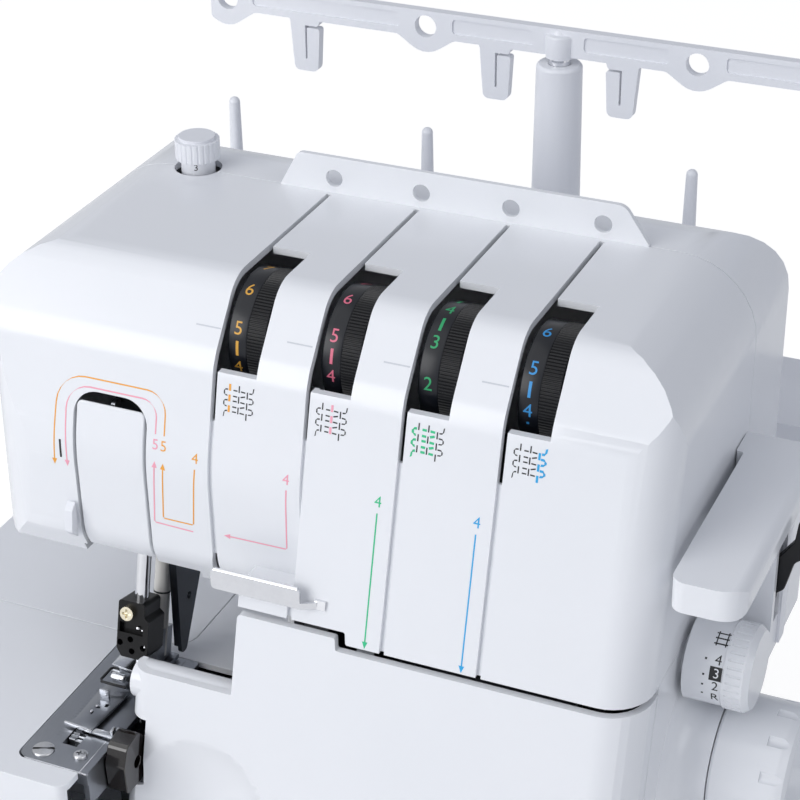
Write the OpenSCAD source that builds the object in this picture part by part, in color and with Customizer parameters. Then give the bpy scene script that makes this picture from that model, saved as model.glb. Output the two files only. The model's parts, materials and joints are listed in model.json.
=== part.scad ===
// Four-thread serger overlock machine, free-standing, with its spool stand.
// Millimetres. X runs right along the machine, Y towards its back, Z up.
// The origin is the bottom centre, on the surface that the feet stand on.

/* [Overall] */
// Width from the bed's left edge to the face of the handwheel
machine_w = 335; // [332:1:345]
// Depth from the front of the cloth plate to the back of the spool tray
machine_d = 282; // [279:1:292]
// Height of the top of the casing
casing_h = 258.4; // [256:0.1:264]
// Height of the cloth plate and of the needle plate
bed_h = 99.6; // [98:0.1:101]
// Height of the rubber feet
foot_h = 8; // [6:0.5:10]

/* [Casing] */
// Thickness of the moulded walls
wall = 2.6; // [2:0.1:3.2]
// Joint gap between one moulding and the next
seam = 0.4; // [0.3:0.05:0.6]
// Width of the casing, from the bed's left edge to its right side
body_w = 294.5; // [292:0.5:297]
// Length of the sewing head, from its left end to the casing's right side
head_len = 251; // [246:0.5:256]
// Height of the underside of the head
head_bottom = 150; // [149:0.5:153]
// Where the column's left wall stands
column_x = -14; // [-15:0.5:-12]
// Where the front and rear mouldings part
parting_y = 19; // [18:0.5:20]
// Where the back of the casing stands
back_y = 62; // [60:0.5:66]
// Lean of the front face, in degrees
lean = 14.4; // [13:0.1:15.5]
// Where the front face passes the seam above the looper cover
face_y = -94.6; // [-96:0.1:-93]
// Height of the top edge of the looper cover
cover_top = 148.4; // [147:0.1:150]
// Radius of the casing's top right edge
top_round = 28; // [22:1:32]
// Radius of the casing's top back edge
back_round = 27; // [20:1:32]
// Radius of the left end of the head
head_round = 30; // [24:1:34]
// Radius of the front right corner
corner_round = 15; // [10:1:18]

/* [Tension dials] */
// Distance from one thread slot to the next
slot_pitch = 34; // [33:0.5:35]
// Where the first thread slot is cut
slot_x = -30; // [-31:0.5:-29]
// Width of a thread slot
slot_w = 1.8; // [1.4:0.1:2.4]
// Width of the window that shows a dial
window_w = 15; // [14:0.5:17]
// Radius of a dial
dial_r = 21.1; // [20:0.1:22]
// Width of a dial
dial_w = 13.2; // [12:0.1:13.4]
// Where the dials' axis lies, from front to back
dial_y = -44.6; // [-46:0.1:-43]
// Height of the dials' axis
dial_z = 235.7; // [234.5:0.1:236.5]

/* [Needles and foot] */
// Where the needle bar stands, from left to right
needle_x = -64; // [-65:0.5:-63]
// Where the needle bar stands, from front to back
needle_y = -73; // [-74:0.5:-72]
// Radius of the needle bar
needle_bar_r = 2.6; // [2.3:0.1:3]
// Lean of the needle bar and the presser bar towards the back, in degrees
bar_lean = 13.5; // [12:0.5:15]
// Rise of the needle bar from its lowest point
needle_stroke = 20; // [18:1:22]
// Radius of the presser bar
presser_bar_r = 3; // [2.6:0.1:3.4]
// Distance from the needle bar back to the presser bar
presser_gap = 15; // [14:0.5:17]
// Length of the needle plate
plate_l = 72; // [68:0.5:74]
// Width of the needle plate ahead of the knife
plate_w = 28; // [26:0.5:30]
// Thickness of the needle plate
plate_t = 2; // [1.6:0.1:2.4]

/* [Right side] */
// Width of the shelf that overhangs the stitch dial
shelf_w = 25; // [23:0.5:27]
// Height of the top of the shelf
shelf_z = 197; // [195:0.5:200]
// Thickness of the shelf
shelf_t = 11; // [9:0.5:13]
// Radius of the stitch length dial
stitch_r = 15; // [13:0.1:16]
// Where the stitch dial's axis lies, from front to back
stitch_y = -43; // [-45:0.5:-42]
// Height of the stitch dial's axis
stitch_z = 143; // [142:0.5:145]
// Radius of the handwheel
wheel_r = 24; // [22:0.5:25]
// Width of the handwheel
wheel_w = 26; // [24:0.5:28]
// Where the main shaft lies, from front to back
shaft_y = -39; // [-40:0.5:-37]
// Height of the main shaft
shaft_z = 101; // [99:0.5:101.5]
// Radius of the main shaft
shaft_r = 6; // [5:0.5:7]

/* [Spool stand] */
// Height of the top of the spool tray
tray_z = 161; // [158:0.5:164]
// Depth of the spool tray
tray_d = 53; // [50:0.5:56]
// Length of the spool tray
tray_l = 292; // [286:1:293]
// Height of the spool tray's rim
tray_t = 13; // [11:0.5:15]
// Where the pole stands, from left to right
pole_x = 20.8; // [19:0.2:21.2]
// Distance from the pole to the inner spool pins
pin_near = 54; // [52:0.5:56]
// Distance from the pole to the outer spool pins
pin_far = 139; // [136:0.5:140]
// Height of the spool pins above the tray
pin_h = 85.5; // [80:0.5:88]
// Height of the pole's sleeve above the tray
sleeve_h = 120; // [117:0.5:122]
// Radius of the telescopic rod
rod_r = 4.3; // [4:0.1:4.8]
// Height of the middle of the thread tree, pushed down
tree_z = 289.6; // [288:0.1:291]
// Height of the thread tree's bar
tree_t = 10.6; // [9:0.1:12]
// Length of the thread tree
tree_l = 293; // [288:1:293]

/* [Hidden] */

$fn = 64;
eps = 0.01;
fit = 0.3;                                  // gap between pieces that move past each other
running = 0.05;                             // radial gap of a shaft in its bore
bed_left = -machine_w / 2;
wheel_end = machine_w / 2;
front_edge = -machine_d / 2;
tray_back = machine_d / 2;
body_right = bed_left + body_w;
head_left = body_right - head_len;
shell_bottom = foot_h + 6;
cover_step_x = 21;                          // the top edge of the looper cover steps down here
cover_travel = 3;                           // slide to the right that unlatches the looper cover
cover_step = 4.2;
cover_gap = 2.8;                            // black gap above the looper cover
cover_left = needle_x + 10;                 // left end of the looper cover's finger
finger_top = bed_h + 24.4;
finger_r = 7;
plate_left = needle_x - 19.6;
plate_front = needle_y - 58;
plate_back = plate_front + plate_l;
bed_split = plate_back + 6.7;               // front edge of the rear bed cover
bed_split_x = needle_x + 5;                 // right edge of the rear bed cover
shelf_front = stitch_y - 39;
shelf_back = parting_y - 3;
housing_front = stitch_y + stitch_r + 2;    // the lever's housing starts behind the stitch dial
housing_x = body_right + shelf_w - 1.5;
shelf_gap = 3;
wheel_x = wheel_end - wheel_w;
presser_y = needle_y + presser_gap;
lean_z = 135.5;                             // the bars stand at needle_y and presser_y at this height
pole_y = tray_back - tray_d / 2;
tray_front = tray_back - tray_d;
tray_x = pole_x - tray_l / 2;
pin_xs = [-pin_far, -pin_near, pin_near, pin_far];
hook_xs = [-105, -25, 25, 105];

// ---- outlines ----

function unit(a, b) = (b - a) / norm(b - a);

// Arc of radius r that rounds the corner b between a and c
function corner(a, b, c, r, steps) =
    let (u = unit(b, a), v = unit(b, c), half = acos(u * v) / 2,
         middle = b + (u + v) / norm(u + v) * (r / sin(half)),
         start = b + u * (r / tan(half)) - middle,
         stop = b + v * (r / tan(half)) - middle,
         from = atan2(start[1], start[0]), raw = atan2(stop[1], stop[0]) - from,
         turn = raw > 180 ? raw - 360 : raw < -180 ? raw + 360 : raw)
    [for (i = [0:steps]) middle + r * [cos(from + turn * i / steps), sin(from + turn * i / steps)]];

// Closed outline through corners [x, y, radius], counterclockwise
function rounded(pts, steps = 8) = [for (i = [0:len(pts) - 1])
    let (n = len(pts), a = pts[(i + n - 1) % n], b = pts[i], c = pts[(i + 1) % n])
    each b[2] == 0 ? [[b[0], b[1]]]
        : corner([a[0], a[1]], [b[0], b[1]], [c[0], c[1]], b[2], steps)];

// The same corners moved inwards by t
function inset(pts, t) = [for (i = [0:len(pts) - 1])
    let (n = len(pts), a = pts[(i + n - 1) % n], b = pts[i], c = pts[(i + 1) % n],
         u = unit([a[0], a[1]], [b[0], b[1]]), v = unit([b[0], b[1]], [c[0], c[1]]),
         m = [-u[1] - v[1], u[0] + v[0]] / (1 + u * v),
         bend = u[0] * v[1] - u[1] * v[0])
    [b[0] + m[0] * t, b[1] + m[1] * t, b[2] == 0 ? 0 : bend > 0 ? max(b[2] - t, 0.3) : b[2] + t]];

function arc(cx, cy, r, from, to, steps) =
    [for (i = [0:steps]) [cx + r * cos(from + (to - from) * i / steps),
                          cy + r * sin(from + (to - from) * i / steps)]];

// Where the leaning needle bar and presser bar stand at height z
function needle_at(z) = needle_y + (z - lean_z) * tan(bar_lean);
function presser_at(z) = needle_at(z) + presser_gap / cos(bar_lean);

function rect(x0, y0, x1, y1, r = 0) = [[x0, y0, r], [x1, y0, r], [x1, y1, r], [x0, y1, r]];

// A (y, z) outline pushed along X, and an (x, z) outline pushed along Y
module along_x(x0, x1) translate([x0, 0, 0]) rotate([90, 0, 90]) linear_extrude(x1 - x0) children();
module along_y(y0, y1) translate([0, y1, 0]) rotate([90, 0, 0]) linear_extrude(y1 - y0) children();
module along_z(z0, z1) translate([0, 0, z0]) linear_extrude(z1 - z0) children();
module block(x0, y0, z0, x1, y1, z1) translate([x0, y0, z0]) cube([x1 - x0, y1 - y0, z1 - z0]);
module rod_x(x0, x1, y, z, r) translate([x0, y, z]) rotate([0, 90, 0]) cylinder(h = x1 - x0, r = r);
module rod_y(y0, y1, x, z, r) translate([x, y1, z]) rotate([90, 0, 0]) cylinder(h = y1 - y0, r = r);
module rod_z(z0, z1, x, y, r) translate([x, y, z0]) cylinder(h = z1 - z0, r = r);

// Leans pieces that are drawn upright along with the needle bar
module leaning() translate([0, needle_y, lean_z]) rotate([-bar_lean, 0, 0])
    translate([0, -needle_y, -lean_z]) children();

// Where the leaning front face stands at height z
function front_at(z) = face_y + (z - cover_top) * tan(lean);

// ---- the casing's forms ----

shoulder_top = face_y + 41;                 // where the flat top starts to fall
shoulder_z = casing_h - 24;

// Side view of the part right of slot 2, which leans out all the way down
function lean_profile(back, low) = [[back, casing_h, 0], [shoulder_top, casing_h, 14],
    [front_at(shoulder_z), shoulder_z, 25], [front_at(low), low, 0], [back, low, 0]];

// Side view of the head, which bulges and turns in at its lower edge
head_belly = face_y + 13.8;
function head_profile(back, low) = [[back, casing_h, 0], [shoulder_top, casing_h, 14],
    [front_at(shoulder_z) + 0.5, shoulder_z, 25], [head_belly, casing_h - 62, 60],
    [head_belly + 1.2, head_bottom + 10, 18], [head_belly + 6, low, 0], [back, low, 0]];

// Plan view of the head's left end and of the column's right corner
module head_end(t) along_z(0, casing_h + 1)
    polygon(rounded(inset([[head_left, head_belly - 0.4, head_round], [body_right + 60, head_belly - 0.4, 0],
        [body_right + 60, back_y + 40, 0], [head_left, back_y + 40, 0]], t)));
module lean_corner(t) translate([0, face_y, cover_top]) rotate([-lean, 0, 0]) along_z(-180, 180)
    polygon(rounded(inset([[-60, 0, 0], [body_right, 0, corner_round], [body_right, 400, 0], [-60, 400, 0]], t)));

// Front view of the upper front moulding
upper_outline = [[head_left, head_bottom, 8], [body_right, head_bottom, 0],
    [body_right, casing_h, top_round], [head_left, casing_h, head_round]];
seam_step_x = cover_step_x + cover_travel + 0.4;
seam_outline = [[column_x, 100, 0], [body_right + 1, 100, 0], [body_right + 1, cover_top + cover_gap, 0],
    [seam_step_x + 0.6, cover_top + cover_gap, 0.8], [seam_step_x, cover_top + cover_step + cover_gap, 0.8],
    [column_x, cover_top + cover_step + cover_gap, 0]];

module upper_form(t, back) intersection() {
    union() {
        intersection() {
            along_x(head_left - 1, slot_x + slot_pitch + (t > 0 ? t + 1 : 0))
                polygon(rounded(inset(head_profile(back, head_bottom), t)));
            head_end(t);
        }
        intersection() {
            along_x(slot_x + slot_pitch + t, body_right + 1)
                polygon(rounded(inset(lean_profile(back, head_bottom), t)));
            lean_corner(t);
        }
        // lip that carries the leaning face on to the left, below the first panel
        intersection() {
            along_x(lip_left + t, slot_xs[1] + t + 1)
                polygon(rounded(inset(lean_profile(back, head_bottom), t)));
            along_y(-200, back + 1) polygon(rounded([[lip_left + t, head_bottom, 0], [40, head_bottom, 0],
                [40, lip_top - t, 0], [lip_left + t, lip_top - t, 1.2]]));
        }
    }
    along_y(-200, back + 1) polygon(rounded(inset(upper_outline, t)));
}

lip_left = column_x - 1;
lip_top = head_bottom + 14;

// Opening for the take-up cover in the front of the head
take_up_left = needle_x - 18.6;
take_up_right = needle_x + 9.8;
take_up_top = casing_h - 42;
module take_up_opening(g) along_y(-120, dial_y)
    polygon(rounded([[take_up_left + g, 120, 0], [take_up_right - g, 120, 0],
        [take_up_right - g, take_up_top - (g > 0 ? 4 : 0), g > 0 ? 2 : 9],
        [take_up_left + g, take_up_top - (g > 0 ? 4 : 0), g > 0 ? 2 : 9]]));

knob_x = needle_x - 20.4;
knob_y = parting_y + 2;
knob_hole_r = 8.7;
slot_xs = [for (i = [0:3]) slot_x + i * slot_pitch];
groove_depth = 1.4;
window_top = dial_y + 15;
window_bottom = dial_z - 4;

module front_casing() color("white") difference() {
    upper_form(0, parting_y);
    upper_form(wall, parting_y + 10);
    along_y(-200, parting_y + 1) polygon(rounded(seam_outline));
    block(lip_left - 1, -200, head_bottom - 1, column_x + 1, head_belly - 1, cover_top + cover_step + cover_gap);
    block(column_x + 4, face_y + 7, head_bottom - 1, body_right - wall - 1, parting_y + 1, head_bottom + wall + 1);
    for (x = slot_xs) {
        block(x - slot_w / 2, -130, casing_h - 44, x + slot_w / 2, -20, casing_h + 1);
        block(x - slot_w / 2, -40, casing_h - 8, x + slot_w / 2, parting_y - 2, casing_h + 1);
        block(x - slot_w / 2, -130, dial_z - 4, x + window_w, window_top, casing_h + 1);
    }
    // shallow grooves that carry the slots on down the face
    difference() {
        for (x = slot_xs) block(x - slot_w / 2, -130, head_bottom - 1, x + slot_w / 2, dial_y, casing_h - 43);
        upper_form(groove_depth, parting_y + 10);
    }
    // mouth of the first slot in the lower edge of the head
    along_y(-130, dial_y) polygon([[slot_x - slot_w / 2, head_bottom + 14], [slot_x + slot_w / 2, head_bottom + 14],
        [slot_x + 1.6, head_bottom - 1], [slot_x - 3, head_bottom - 1]]);
    take_up_opening(0);
    block(needle_x - 20, needle_y - 8, head_bottom - 1, column_x - 24, presser_y + 28, head_bottom + wall + 1);
    rod_z(casing_h - 20, casing_h + 1, knob_x, knob_y, knob_hole_r);
}

module take_up_cover() color("white") intersection() {
    difference() {
        along_x(head_left, column_x) polygon(rounded(head_profile(parting_y, head_bottom + 2)));
        along_x(head_left - 1, column_x + 1) polygon(rounded(inset(head_profile(parting_y + 20, head_bottom + 2), wall)));
    }
    take_up_opening(1.2);
    block(-200, -200, head_bottom + 2, 200, needle_y - needle_bar_r - 0.6, casing_h);
}

// Front view of the whole machine, a C that opens to the left over the bed
body_outline = [[bed_left, shell_bottom, 4], [body_right, shell_bottom, 4],
    [body_right, casing_h, top_round], [head_left, casing_h, head_round], [head_left, head_bottom, 8],
    [column_x, head_bottom, 5], [column_x, bed_h, 5], [bed_left, bed_h, 5]];
function rear_profile(front) = [[front, shell_bottom, 0], [back_y, shell_bottom, 4],
    [back_y, casing_h, back_round], [front, casing_h, 0]];

vent_n = 7;
module rear_casing() color("white") difference() {
    intersection() {
        along_x(bed_left, body_right) polygon(rounded(rear_profile(parting_y + seam)));
        along_y(parting_y, back_y) polygon(rounded(body_outline));
    }
    intersection() {
        along_x(bed_left, body_right) polygon(rounded(inset(rear_profile(parting_y - 20), wall)));
        along_y(parting_y - 1, back_y) polygon(rounded(inset(body_outline, wall)));
    }
    block(bed_left + wall, parting_y, shell_bottom - 1, body_right - wall, back_y - wall, shell_bottom + 8);
    rod_z(casing_h - 20, casing_h + 1, knob_x, knob_y, knob_hole_r);
    for (i = [0:vent_n - 1]) block(motor_x + 6 + i * 8, back_y - 8, 30, motor_x + 9 + i * 8, back_y + 1, 62);
    for (x = tray_arm_xs) rod_y(back_y - 8, back_y + 1, x, tray_z - tray_t - 4, 1.7);
}

lug_xs = [column_x - 8, body_right - 70];
module base_tray() color("white") difference() {
    union() {
        along_z(foot_h, shell_bottom) polygon(rounded([[bed_left, front_edge + 4, 8],
            [cover_left - 4, front_edge + 4, 6], [cover_left + 2, front_at(30), 4], [body_right, front_at(30), 12],
            [body_right, back_y, 8], [bed_left, back_y, 8]]));
        // lugs for the looper cover's rod
        for (x = lug_xs) {
            rod_x(x, x + 8, cover_pivot[0], cover_pivot[1], 3.6);
            block(x, cover_pivot[0], cover_pivot[1] - 4, x + 8, cover_pivot[0] + 13, cover_pivot[1] + 4);
            block(x, cover_pivot[0] + 8, foot_h + 1, x + 8, cover_pivot[0] + 13, cover_pivot[1] + 4);
        }
    }
    for (x = lug_xs) rod_x(x - 1, x + 9, cover_pivot[0], cover_pivot[1], 2 + running);
    for (p = screw_spots) rod_z(foot_h - 1, foot_h + 2.5, p[0], p[1], 3.6);
}

foot_spots = [[bed_left + 16, front_edge + 22], [body_right - 18, front_edge + 32],
    [bed_left + 16, back_y - 16], [body_right - 18, back_y - 16]];
module rubber_feet() color("dimgray") for (p = foot_spots)
    translate([p[0], p[1], 0]) rotate_extrude()
        polygon([[0, 0], [8.5, 0], [9.5, 1.5], [10, foot_h], [0, foot_h]]);

screw_spots = [[bed_left + 40, back_y - 14], [0, back_y - 14], [body_right - 40, back_y - 14], [0, -80]];
module casing_screws() color("silver") for (p = screw_spots) {
    rod_z(foot_h, foot_h + 2.5, p[0], p[1], 3.2);
}

// ---- bed ----

module bed_cover() color("white") difference() {
    along_z(shell_bottom, bed_h) polygon(rounded([[bed_left, bed_split, 3], [bed_split_x, bed_split, 8],
        [bed_split_x, parting_y, 0], [bed_left, parting_y, 0]]));
    along_z(shell_bottom - 1, bed_h - wall) polygon(rounded([[bed_left + wall, bed_split + wall, 2],
        [bed_split_x + 1, bed_split + wall, 0], [bed_split_x + 1, parting_y + 1, 0], [bed_left + wall, parting_y + 1, 0]]));
    block(needle_x - 24, bed_split - 1, shell_bottom - 1, bed_split_x + 1, bed_split + wall + 1, 94);
}

module inner_bed_cover() color("white") {
    along_z(bed_h - wall, bed_h) polygon(rounded([[plate_left + 1, plate_back + seam, 0],
        [column_x, plate_back + seam, 0], [column_x, parting_y, 0],
        [bed_split_x + seam, parting_y, 0], [bed_split_x + seam, bed_split - seam, 8.4],
        [plate_left + 1, bed_split - seam, 0]]));
    // left wall of the column
    block(column_x, plate_back + seam, bed_h - wall, column_x + wall, parting_y, head_bottom - fit);
}

door_axis = [bed_left + 4, bed_split - seam - 4];
module cloth_plate_cover() color("white") difference() {
    along_z(shell_bottom + seam, bed_h) polygon(rounded([[bed_left, front_edge, 10], [cover_left - 5, front_edge, 4],
        [cover_left - 5, plate_front + 6, 0], [cover_left - 5, bed_split - seam, 0],
        [bed_left, bed_split - seam, 3.9]]));
    along_z(shell_bottom - 1, bed_h - wall) polygon(rounded([[bed_left + wall, front_edge + wall, 8],
        [cover_left - 4, front_edge + wall, 0], [cover_left - 4, bed_split, 0],
        [bed_left + 14, bed_split, 0], [bed_left + 14, bed_split - 12, 2], [bed_left + wall, bed_split - 12, 2]]));
    along_z(60, bed_h + 1) polygon(rounded([[plate_left - seam, plate_front - seam, 4], [0, plate_front - seam, 0],
        [0, bed_split + 1, 0], [plate_left - seam, bed_split + 1, 0]]));
    rod_z(0, bed_h - 8, door_axis[0], door_axis[1], 1.5 + running);
}

module cloth_plate_hinge() color("silver")
    rod_z(shell_bottom, bed_h - 9, door_axis[0], door_axis[1], 1.5);

// ---- looper cover ----

cover_bottom = shell_bottom + 6;
cover_pivot = [front_at(cover_bottom) + 8, cover_bottom + 4];
cover_outline = [[cover_left, cover_bottom, 3], [body_right, cover_bottom, 3], [body_right, cover_top, 0],
    [cover_step_x + 0.6, cover_top, 0.8], [cover_step_x, cover_top + cover_step, 0.8],
    [column_x - 1, cover_top + cover_step, 1.5], [column_x - 1, finger_top, 0.6], [cover_left, finger_top, 1]];

cover_back = corner_round + 3.4;            // depth of the cover's right flank behind its face
function cover_wedge(low, high, deep) = [[front_at(low), low], [front_at(high), high],
    [front_at(high) + deep, high], [front_at(low) + deep, low]];

module cover_form(t) intersection() {
    along_x(cover_left, body_right) polygon(cover_wedge(cover_bottom, 200, 80));
    lean_corner(t);
    translate([0, face_y, cover_top]) rotate([-lean, 0, 0]) along_z(-180, 180)
        polygon(rounded(inset([[cover_left, 0, 7], [200, 0, 0], [200, 400, 0], [cover_left, 400, 0]], t)));
}

// Hollow for the fingers below the bar
hollow_x = column_x - 10;
hollow_z = 80;
hollow_depth = 6;
hollow_r = 59;
module hollow_ball(r) translate([hollow_x, front_at(hollow_z), hollow_z]) rotate([-lean, 0, 0])
    translate([0, hollow_depth - hollow_r, 0]) sphere(r = r, $fn = 96);

module looper_cover() color("white") {
    difference() {
        intersection() {
            union() {
                difference() {
                    cover_form(0);
                    cover_form(wall);
                }
                intersection() {
                    cover_form(0);
                    hollow_ball(hollow_r + wall);
                }
            }
            along_y(-200, 0) polygon(rounded(cover_outline));
            union() {
                along_x(0, body_right) polygon(cover_wedge(0, 200, cover_back));
                along_x(cover_left, 1) polygon(cover_wedge(0, 200, 8.5));
            }
        }
        hollow_ball(hollow_r);
        block(cover_left - 1, -200, guard_low - 1.6, plate_left + plate_w + 9, 0, guard_low + 23);
        block(cover_left - 1, front_at(guard_low) + 2, guard_low - 5, plate_left + plate_w + 9, 0, guard_low);
        rod_x(cover_left - 1, body_right + 1, cover_pivot[0], cover_pivot[1], 3.2);
    }
    intersection() {
        rod_x(cover_left, column_x - 1, front_at(finger_top) + finger_r - 1.2, finger_top - finger_r, finger_r);
        along_x(cover_left, column_x) polygon(cover_wedge(60, 140, 30));
    }
    for (x = [cover_left + 12, body_right - 40]) difference() {
        hinge_ear(x);
        rod_x(x - 1, x + 9, cover_pivot[0], cover_pivot[1], 2 + running);
    }
}

module hinge_ear(x) {
    rod_x(x, x + 8, cover_pivot[0], cover_pivot[1], 4.2);
    block(x, front_at(cover_bottom + 4) + 1.5, cover_bottom + 1, x + 8, cover_pivot[0], cover_bottom + 7);
}

module looper_cover_rod() color("silver")
    rod_x(cover_left + 6, body_right - 24, cover_pivot[0], cover_pivot[1], 2);

// ---- right side ----

dial_hole_r = 4;
side_wall = [body_right - wall, body_right];
side_back = cover_back + seam;
module side_cover() color("white") difference() {
    union() {
        along_x(side_wall[0], side_wall[1]) polygon([[front_at(shell_bottom) + side_back, shell_bottom],
            [parting_y, shell_bottom], [parting_y, head_bottom + 1], [front_at(head_bottom + 1) + side_back, head_bottom + 1]]);
        // shelf over the dial
        intersection() {
            along_z(shelf_z - shelf_t, shelf_z) polygon(rounded([
                [body_right + shelf_gap, shelf_front, 5], [body_right + shelf_gap + shelf_w - 1, shelf_front, 9],
                [body_right + shelf_gap + shelf_w - 1, shelf_back, 4], [body_right + fit, shelf_back, 1],
                [body_right + fit, shelf_back - 14, 1], [body_right + shelf_gap, shelf_back - 14, 1]]));
            along_y(-200, 100) polygon(rounded([[100, shelf_z - shelf_t, 0],
                [body_right + shelf_gap + shelf_w - 1, shelf_z - shelf_t, 3],
                [body_right + shelf_gap + shelf_w - 1, shelf_z, 4], [100, shelf_z, 0]]));
        }
        // housing of the differential feed lever
        intersection() {
            along_x(body_right + fit, housing_x) polygon(rounded([[housing_front, 118, 6], [shelf_back - 2, 118, 8],
                [shelf_back - 2, shelf_z - shelf_t + 1, 0], [housing_front, shelf_z - shelf_t + 1, 0]]));
            along_y(-100, 100) polygon(rounded([[100, 100, 0], [body_right + 2, 100, 0], [housing_x, 134, 8],
                [housing_x, 200, 0], [100, 200, 0]]));
        }
        block(body_right - 1, housing_front + 6, 120, body_right + 2, shelf_back - 10, head_bottom);
        // flared boss round the handwheel's neck
        translate([body_right, shaft_y, shaft_z]) rotate([0, 90, 0]) rotate_extrude()
            polygon(concat([[0, -1], [wheel_r + 9, -1]], arc(wheel_r + 10, 10, 10, -100, -180, 8),
                [[wheel_r, wheel_x - body_right - fit], [0, wheel_x - body_right - fit]]));
        // ears of the power switch
        for (s = [-1, 1]) block(body_right - 9, switch_y + s * 7.8 - 0.8, switch_z - 3,
            body_right - 1, switch_y + s * 7.8 + 0.8, switch_z + 3);
        // stop block that the stitch dial seats on
        rod_x(body_right - 1, body_right + 2, stitch_y, stitch_z, 7);
    }
    rod_x(body_right - 8, wheel_x + 8, shaft_y, shaft_z, shaft_r + running + 2.5);
    rod_x(body_right - 8, body_right + 6, stitch_y, stitch_z, dial_hole_r + running);
    // mouth for the lever
    difference() {
        block(housing_x - 17, lever_y - 3, lever_z - 9, housing_x + 1, lever_y + 3, shelf_z - shelf_t - 4);
        rod_y(lever_y - 4, lever_y + 4, housing_x - 8, lever_z, 2);
    }
    along_x(body_right - 8, body_right + 1)
        polygon(rounded(rect(inlet_y - 11, inlet_z - 7.5, inlet_y + 11, inlet_z + 7.5, 2)));
    difference() {
        along_x(body_right - 10, body_right + 1)
            polygon(rounded(rect(switch_y - 7, switch_z - 10.5, switch_y + 7, switch_z + 10.5, 1)));
        rod_y(switch_y - 8, switch_y + 8, body_right - 5, switch_z, 1.2);
    }
}

rib_n = 72;
module stitch_dial() color("white") difference() {
    union() {
        translate([body_right + 2 + fit, stitch_y, stitch_z]) rotate([0, 90, 0]) rotate_extrude()
            polygon([[0, 0], [stitch_r - 0.6, 0], [stitch_r - 0.6, 13], [stitch_r, 13.6], [stitch_r, 20.4],
                [stitch_r - 1.6, 22.4], [0, 22.4]]);
        rod_x(body_right - 10, body_right + 3, stitch_y, stitch_z, dial_hole_r);
    }
    for (i = [0:rib_n / 2 - 1]) translate([body_right + 17, stitch_y, stitch_z]) rotate([i * 720 / rib_n, 0, 0])
        translate([0, 0, stitch_r]) rotate([0, 90, 0]) cylinder(h = 5, r = 0.45);
}

lever_y = housing_front + 6;
lever_z = 158;
module differential_lever() color("black") difference() {
    union() {
        rod_y(lever_y - 2, lever_y + 2, housing_x - 8, lever_z, 7.5);
        along_y(lever_y - 2, lever_y + 2) polygon(rounded([[housing_x - 6, lever_z - 3, 1],
            [housing_x + 2.4, lever_z + 4, 3], [housing_x + 5, lever_z + 15, 4], [housing_x + 10, lever_z + 19, 3],
            [housing_x + 9.6, lever_z + 31, 2], [housing_x + 5.4, lever_z + 32, 1.5], [housing_x + 4.4, lever_z + 23, 3],
            [housing_x - 4, lever_z + 11, 3]]));
    }
    rod_y(lever_y - 3, lever_y + 3, housing_x - 8, lever_z, 2 + running);
}

module feed_scale() color("gray") along_x(housing_x, housing_x + 1)
    polygon(rounded(rect(lever_y + 3.6, 136, lever_y + 11, 182, 1)));

module handwheel() color("white") difference() {
    translate([wheel_x, shaft_y, shaft_z]) rotate([0, 90, 0]) rotate_extrude(convexity = 4)
        polygon([[shaft_r + running, 0], [wheel_r - 1, 0], [wheel_r, 1], [wheel_r, wheel_w - 4],
            [wheel_r - 1.4, wheel_w - 1], [wheel_r - 3.4, wheel_w], [wheel_r - 5, wheel_w - 0.8],
            [wheel_r - 8, wheel_w - 5], [12, wheel_w - 6.5], [shaft_r + running, wheel_w - 6.5]]);
    for (i = [0:11]) translate([0, shaft_y, shaft_z]) rotate([i * 30, 0, 0])
        rod_x(wheel_x + wheel_w - 9, wheel_end + 1, 0, wheel_r + 1.4, 2.4);
}

bearing_left = column_x + 10;
bearing_right = body_right - 18;
module main_shaft() color("silver") {
    rod_x(bearing_left - 6, wheel_end - 6.5 - fit, shaft_y, shaft_z, shaft_r);
    // eccentrics that drive the loopers and the knife
    for (e = [[bearing_left + 12, 4], [bearing_left + 26, -4]])
        rod_x(e[0], e[0] + 7, shaft_y, shaft_z + e[1], shaft_r + 8);
}

pulley_x = bearing_right - 14;
pulley_r = 22;
belt_w = 8;
motor_y = 26;
motor_z = 50;
motor_r = 23;
motor_x = 16;
motor_l = 66;
motor_pulley_r = 8;
module shaft_pulley() color("gray") difference() {
    union() {
        rod_x(pulley_x, pulley_x + belt_w, shaft_y, shaft_z, pulley_r);
        rod_x(pulley_x - 1.5, pulley_x - 0.3, shaft_y, shaft_z, pulley_r + 3);
        rod_x(pulley_x - 1.5, pulley_x + belt_w, shaft_y, shaft_z, shaft_r + 5);
    }
    rod_x(pulley_x - 2, pulley_x + belt_w + 1, shaft_y, shaft_z, shaft_r + running);
}

module motor_pulley() color("gray") {
    rod_x(pulley_x, pulley_x + belt_w, motor_y, motor_z, motor_pulley_r);
    rod_x(motor_x + motor_l - 10, pulley_x + 1, motor_y, motor_z, 3);
}

// The belt: two arcs joined by the tangents to both pulleys
belt_span = norm([motor_y - shaft_y, motor_z - shaft_z]);
belt_lap = asin((pulley_r - motor_pulley_r) / belt_span);
function belt_loop(g) = concat(arc(0, 0, pulley_r + g, 90 - belt_lap, 270 + belt_lap, 24),
    arc(belt_span, 0, motor_pulley_r + g, -90 + belt_lap, 90 - belt_lap, 12));
module timing_belt() color("black") translate([0, shaft_y, shaft_z])
    rotate([atan2(motor_z - shaft_z, motor_y - shaft_y), 0, 0]) along_x(pulley_x, pulley_x + belt_w) difference() {
        polygon(belt_loop(2.2));
        polygon(belt_loop(0.2));
    }

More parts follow.
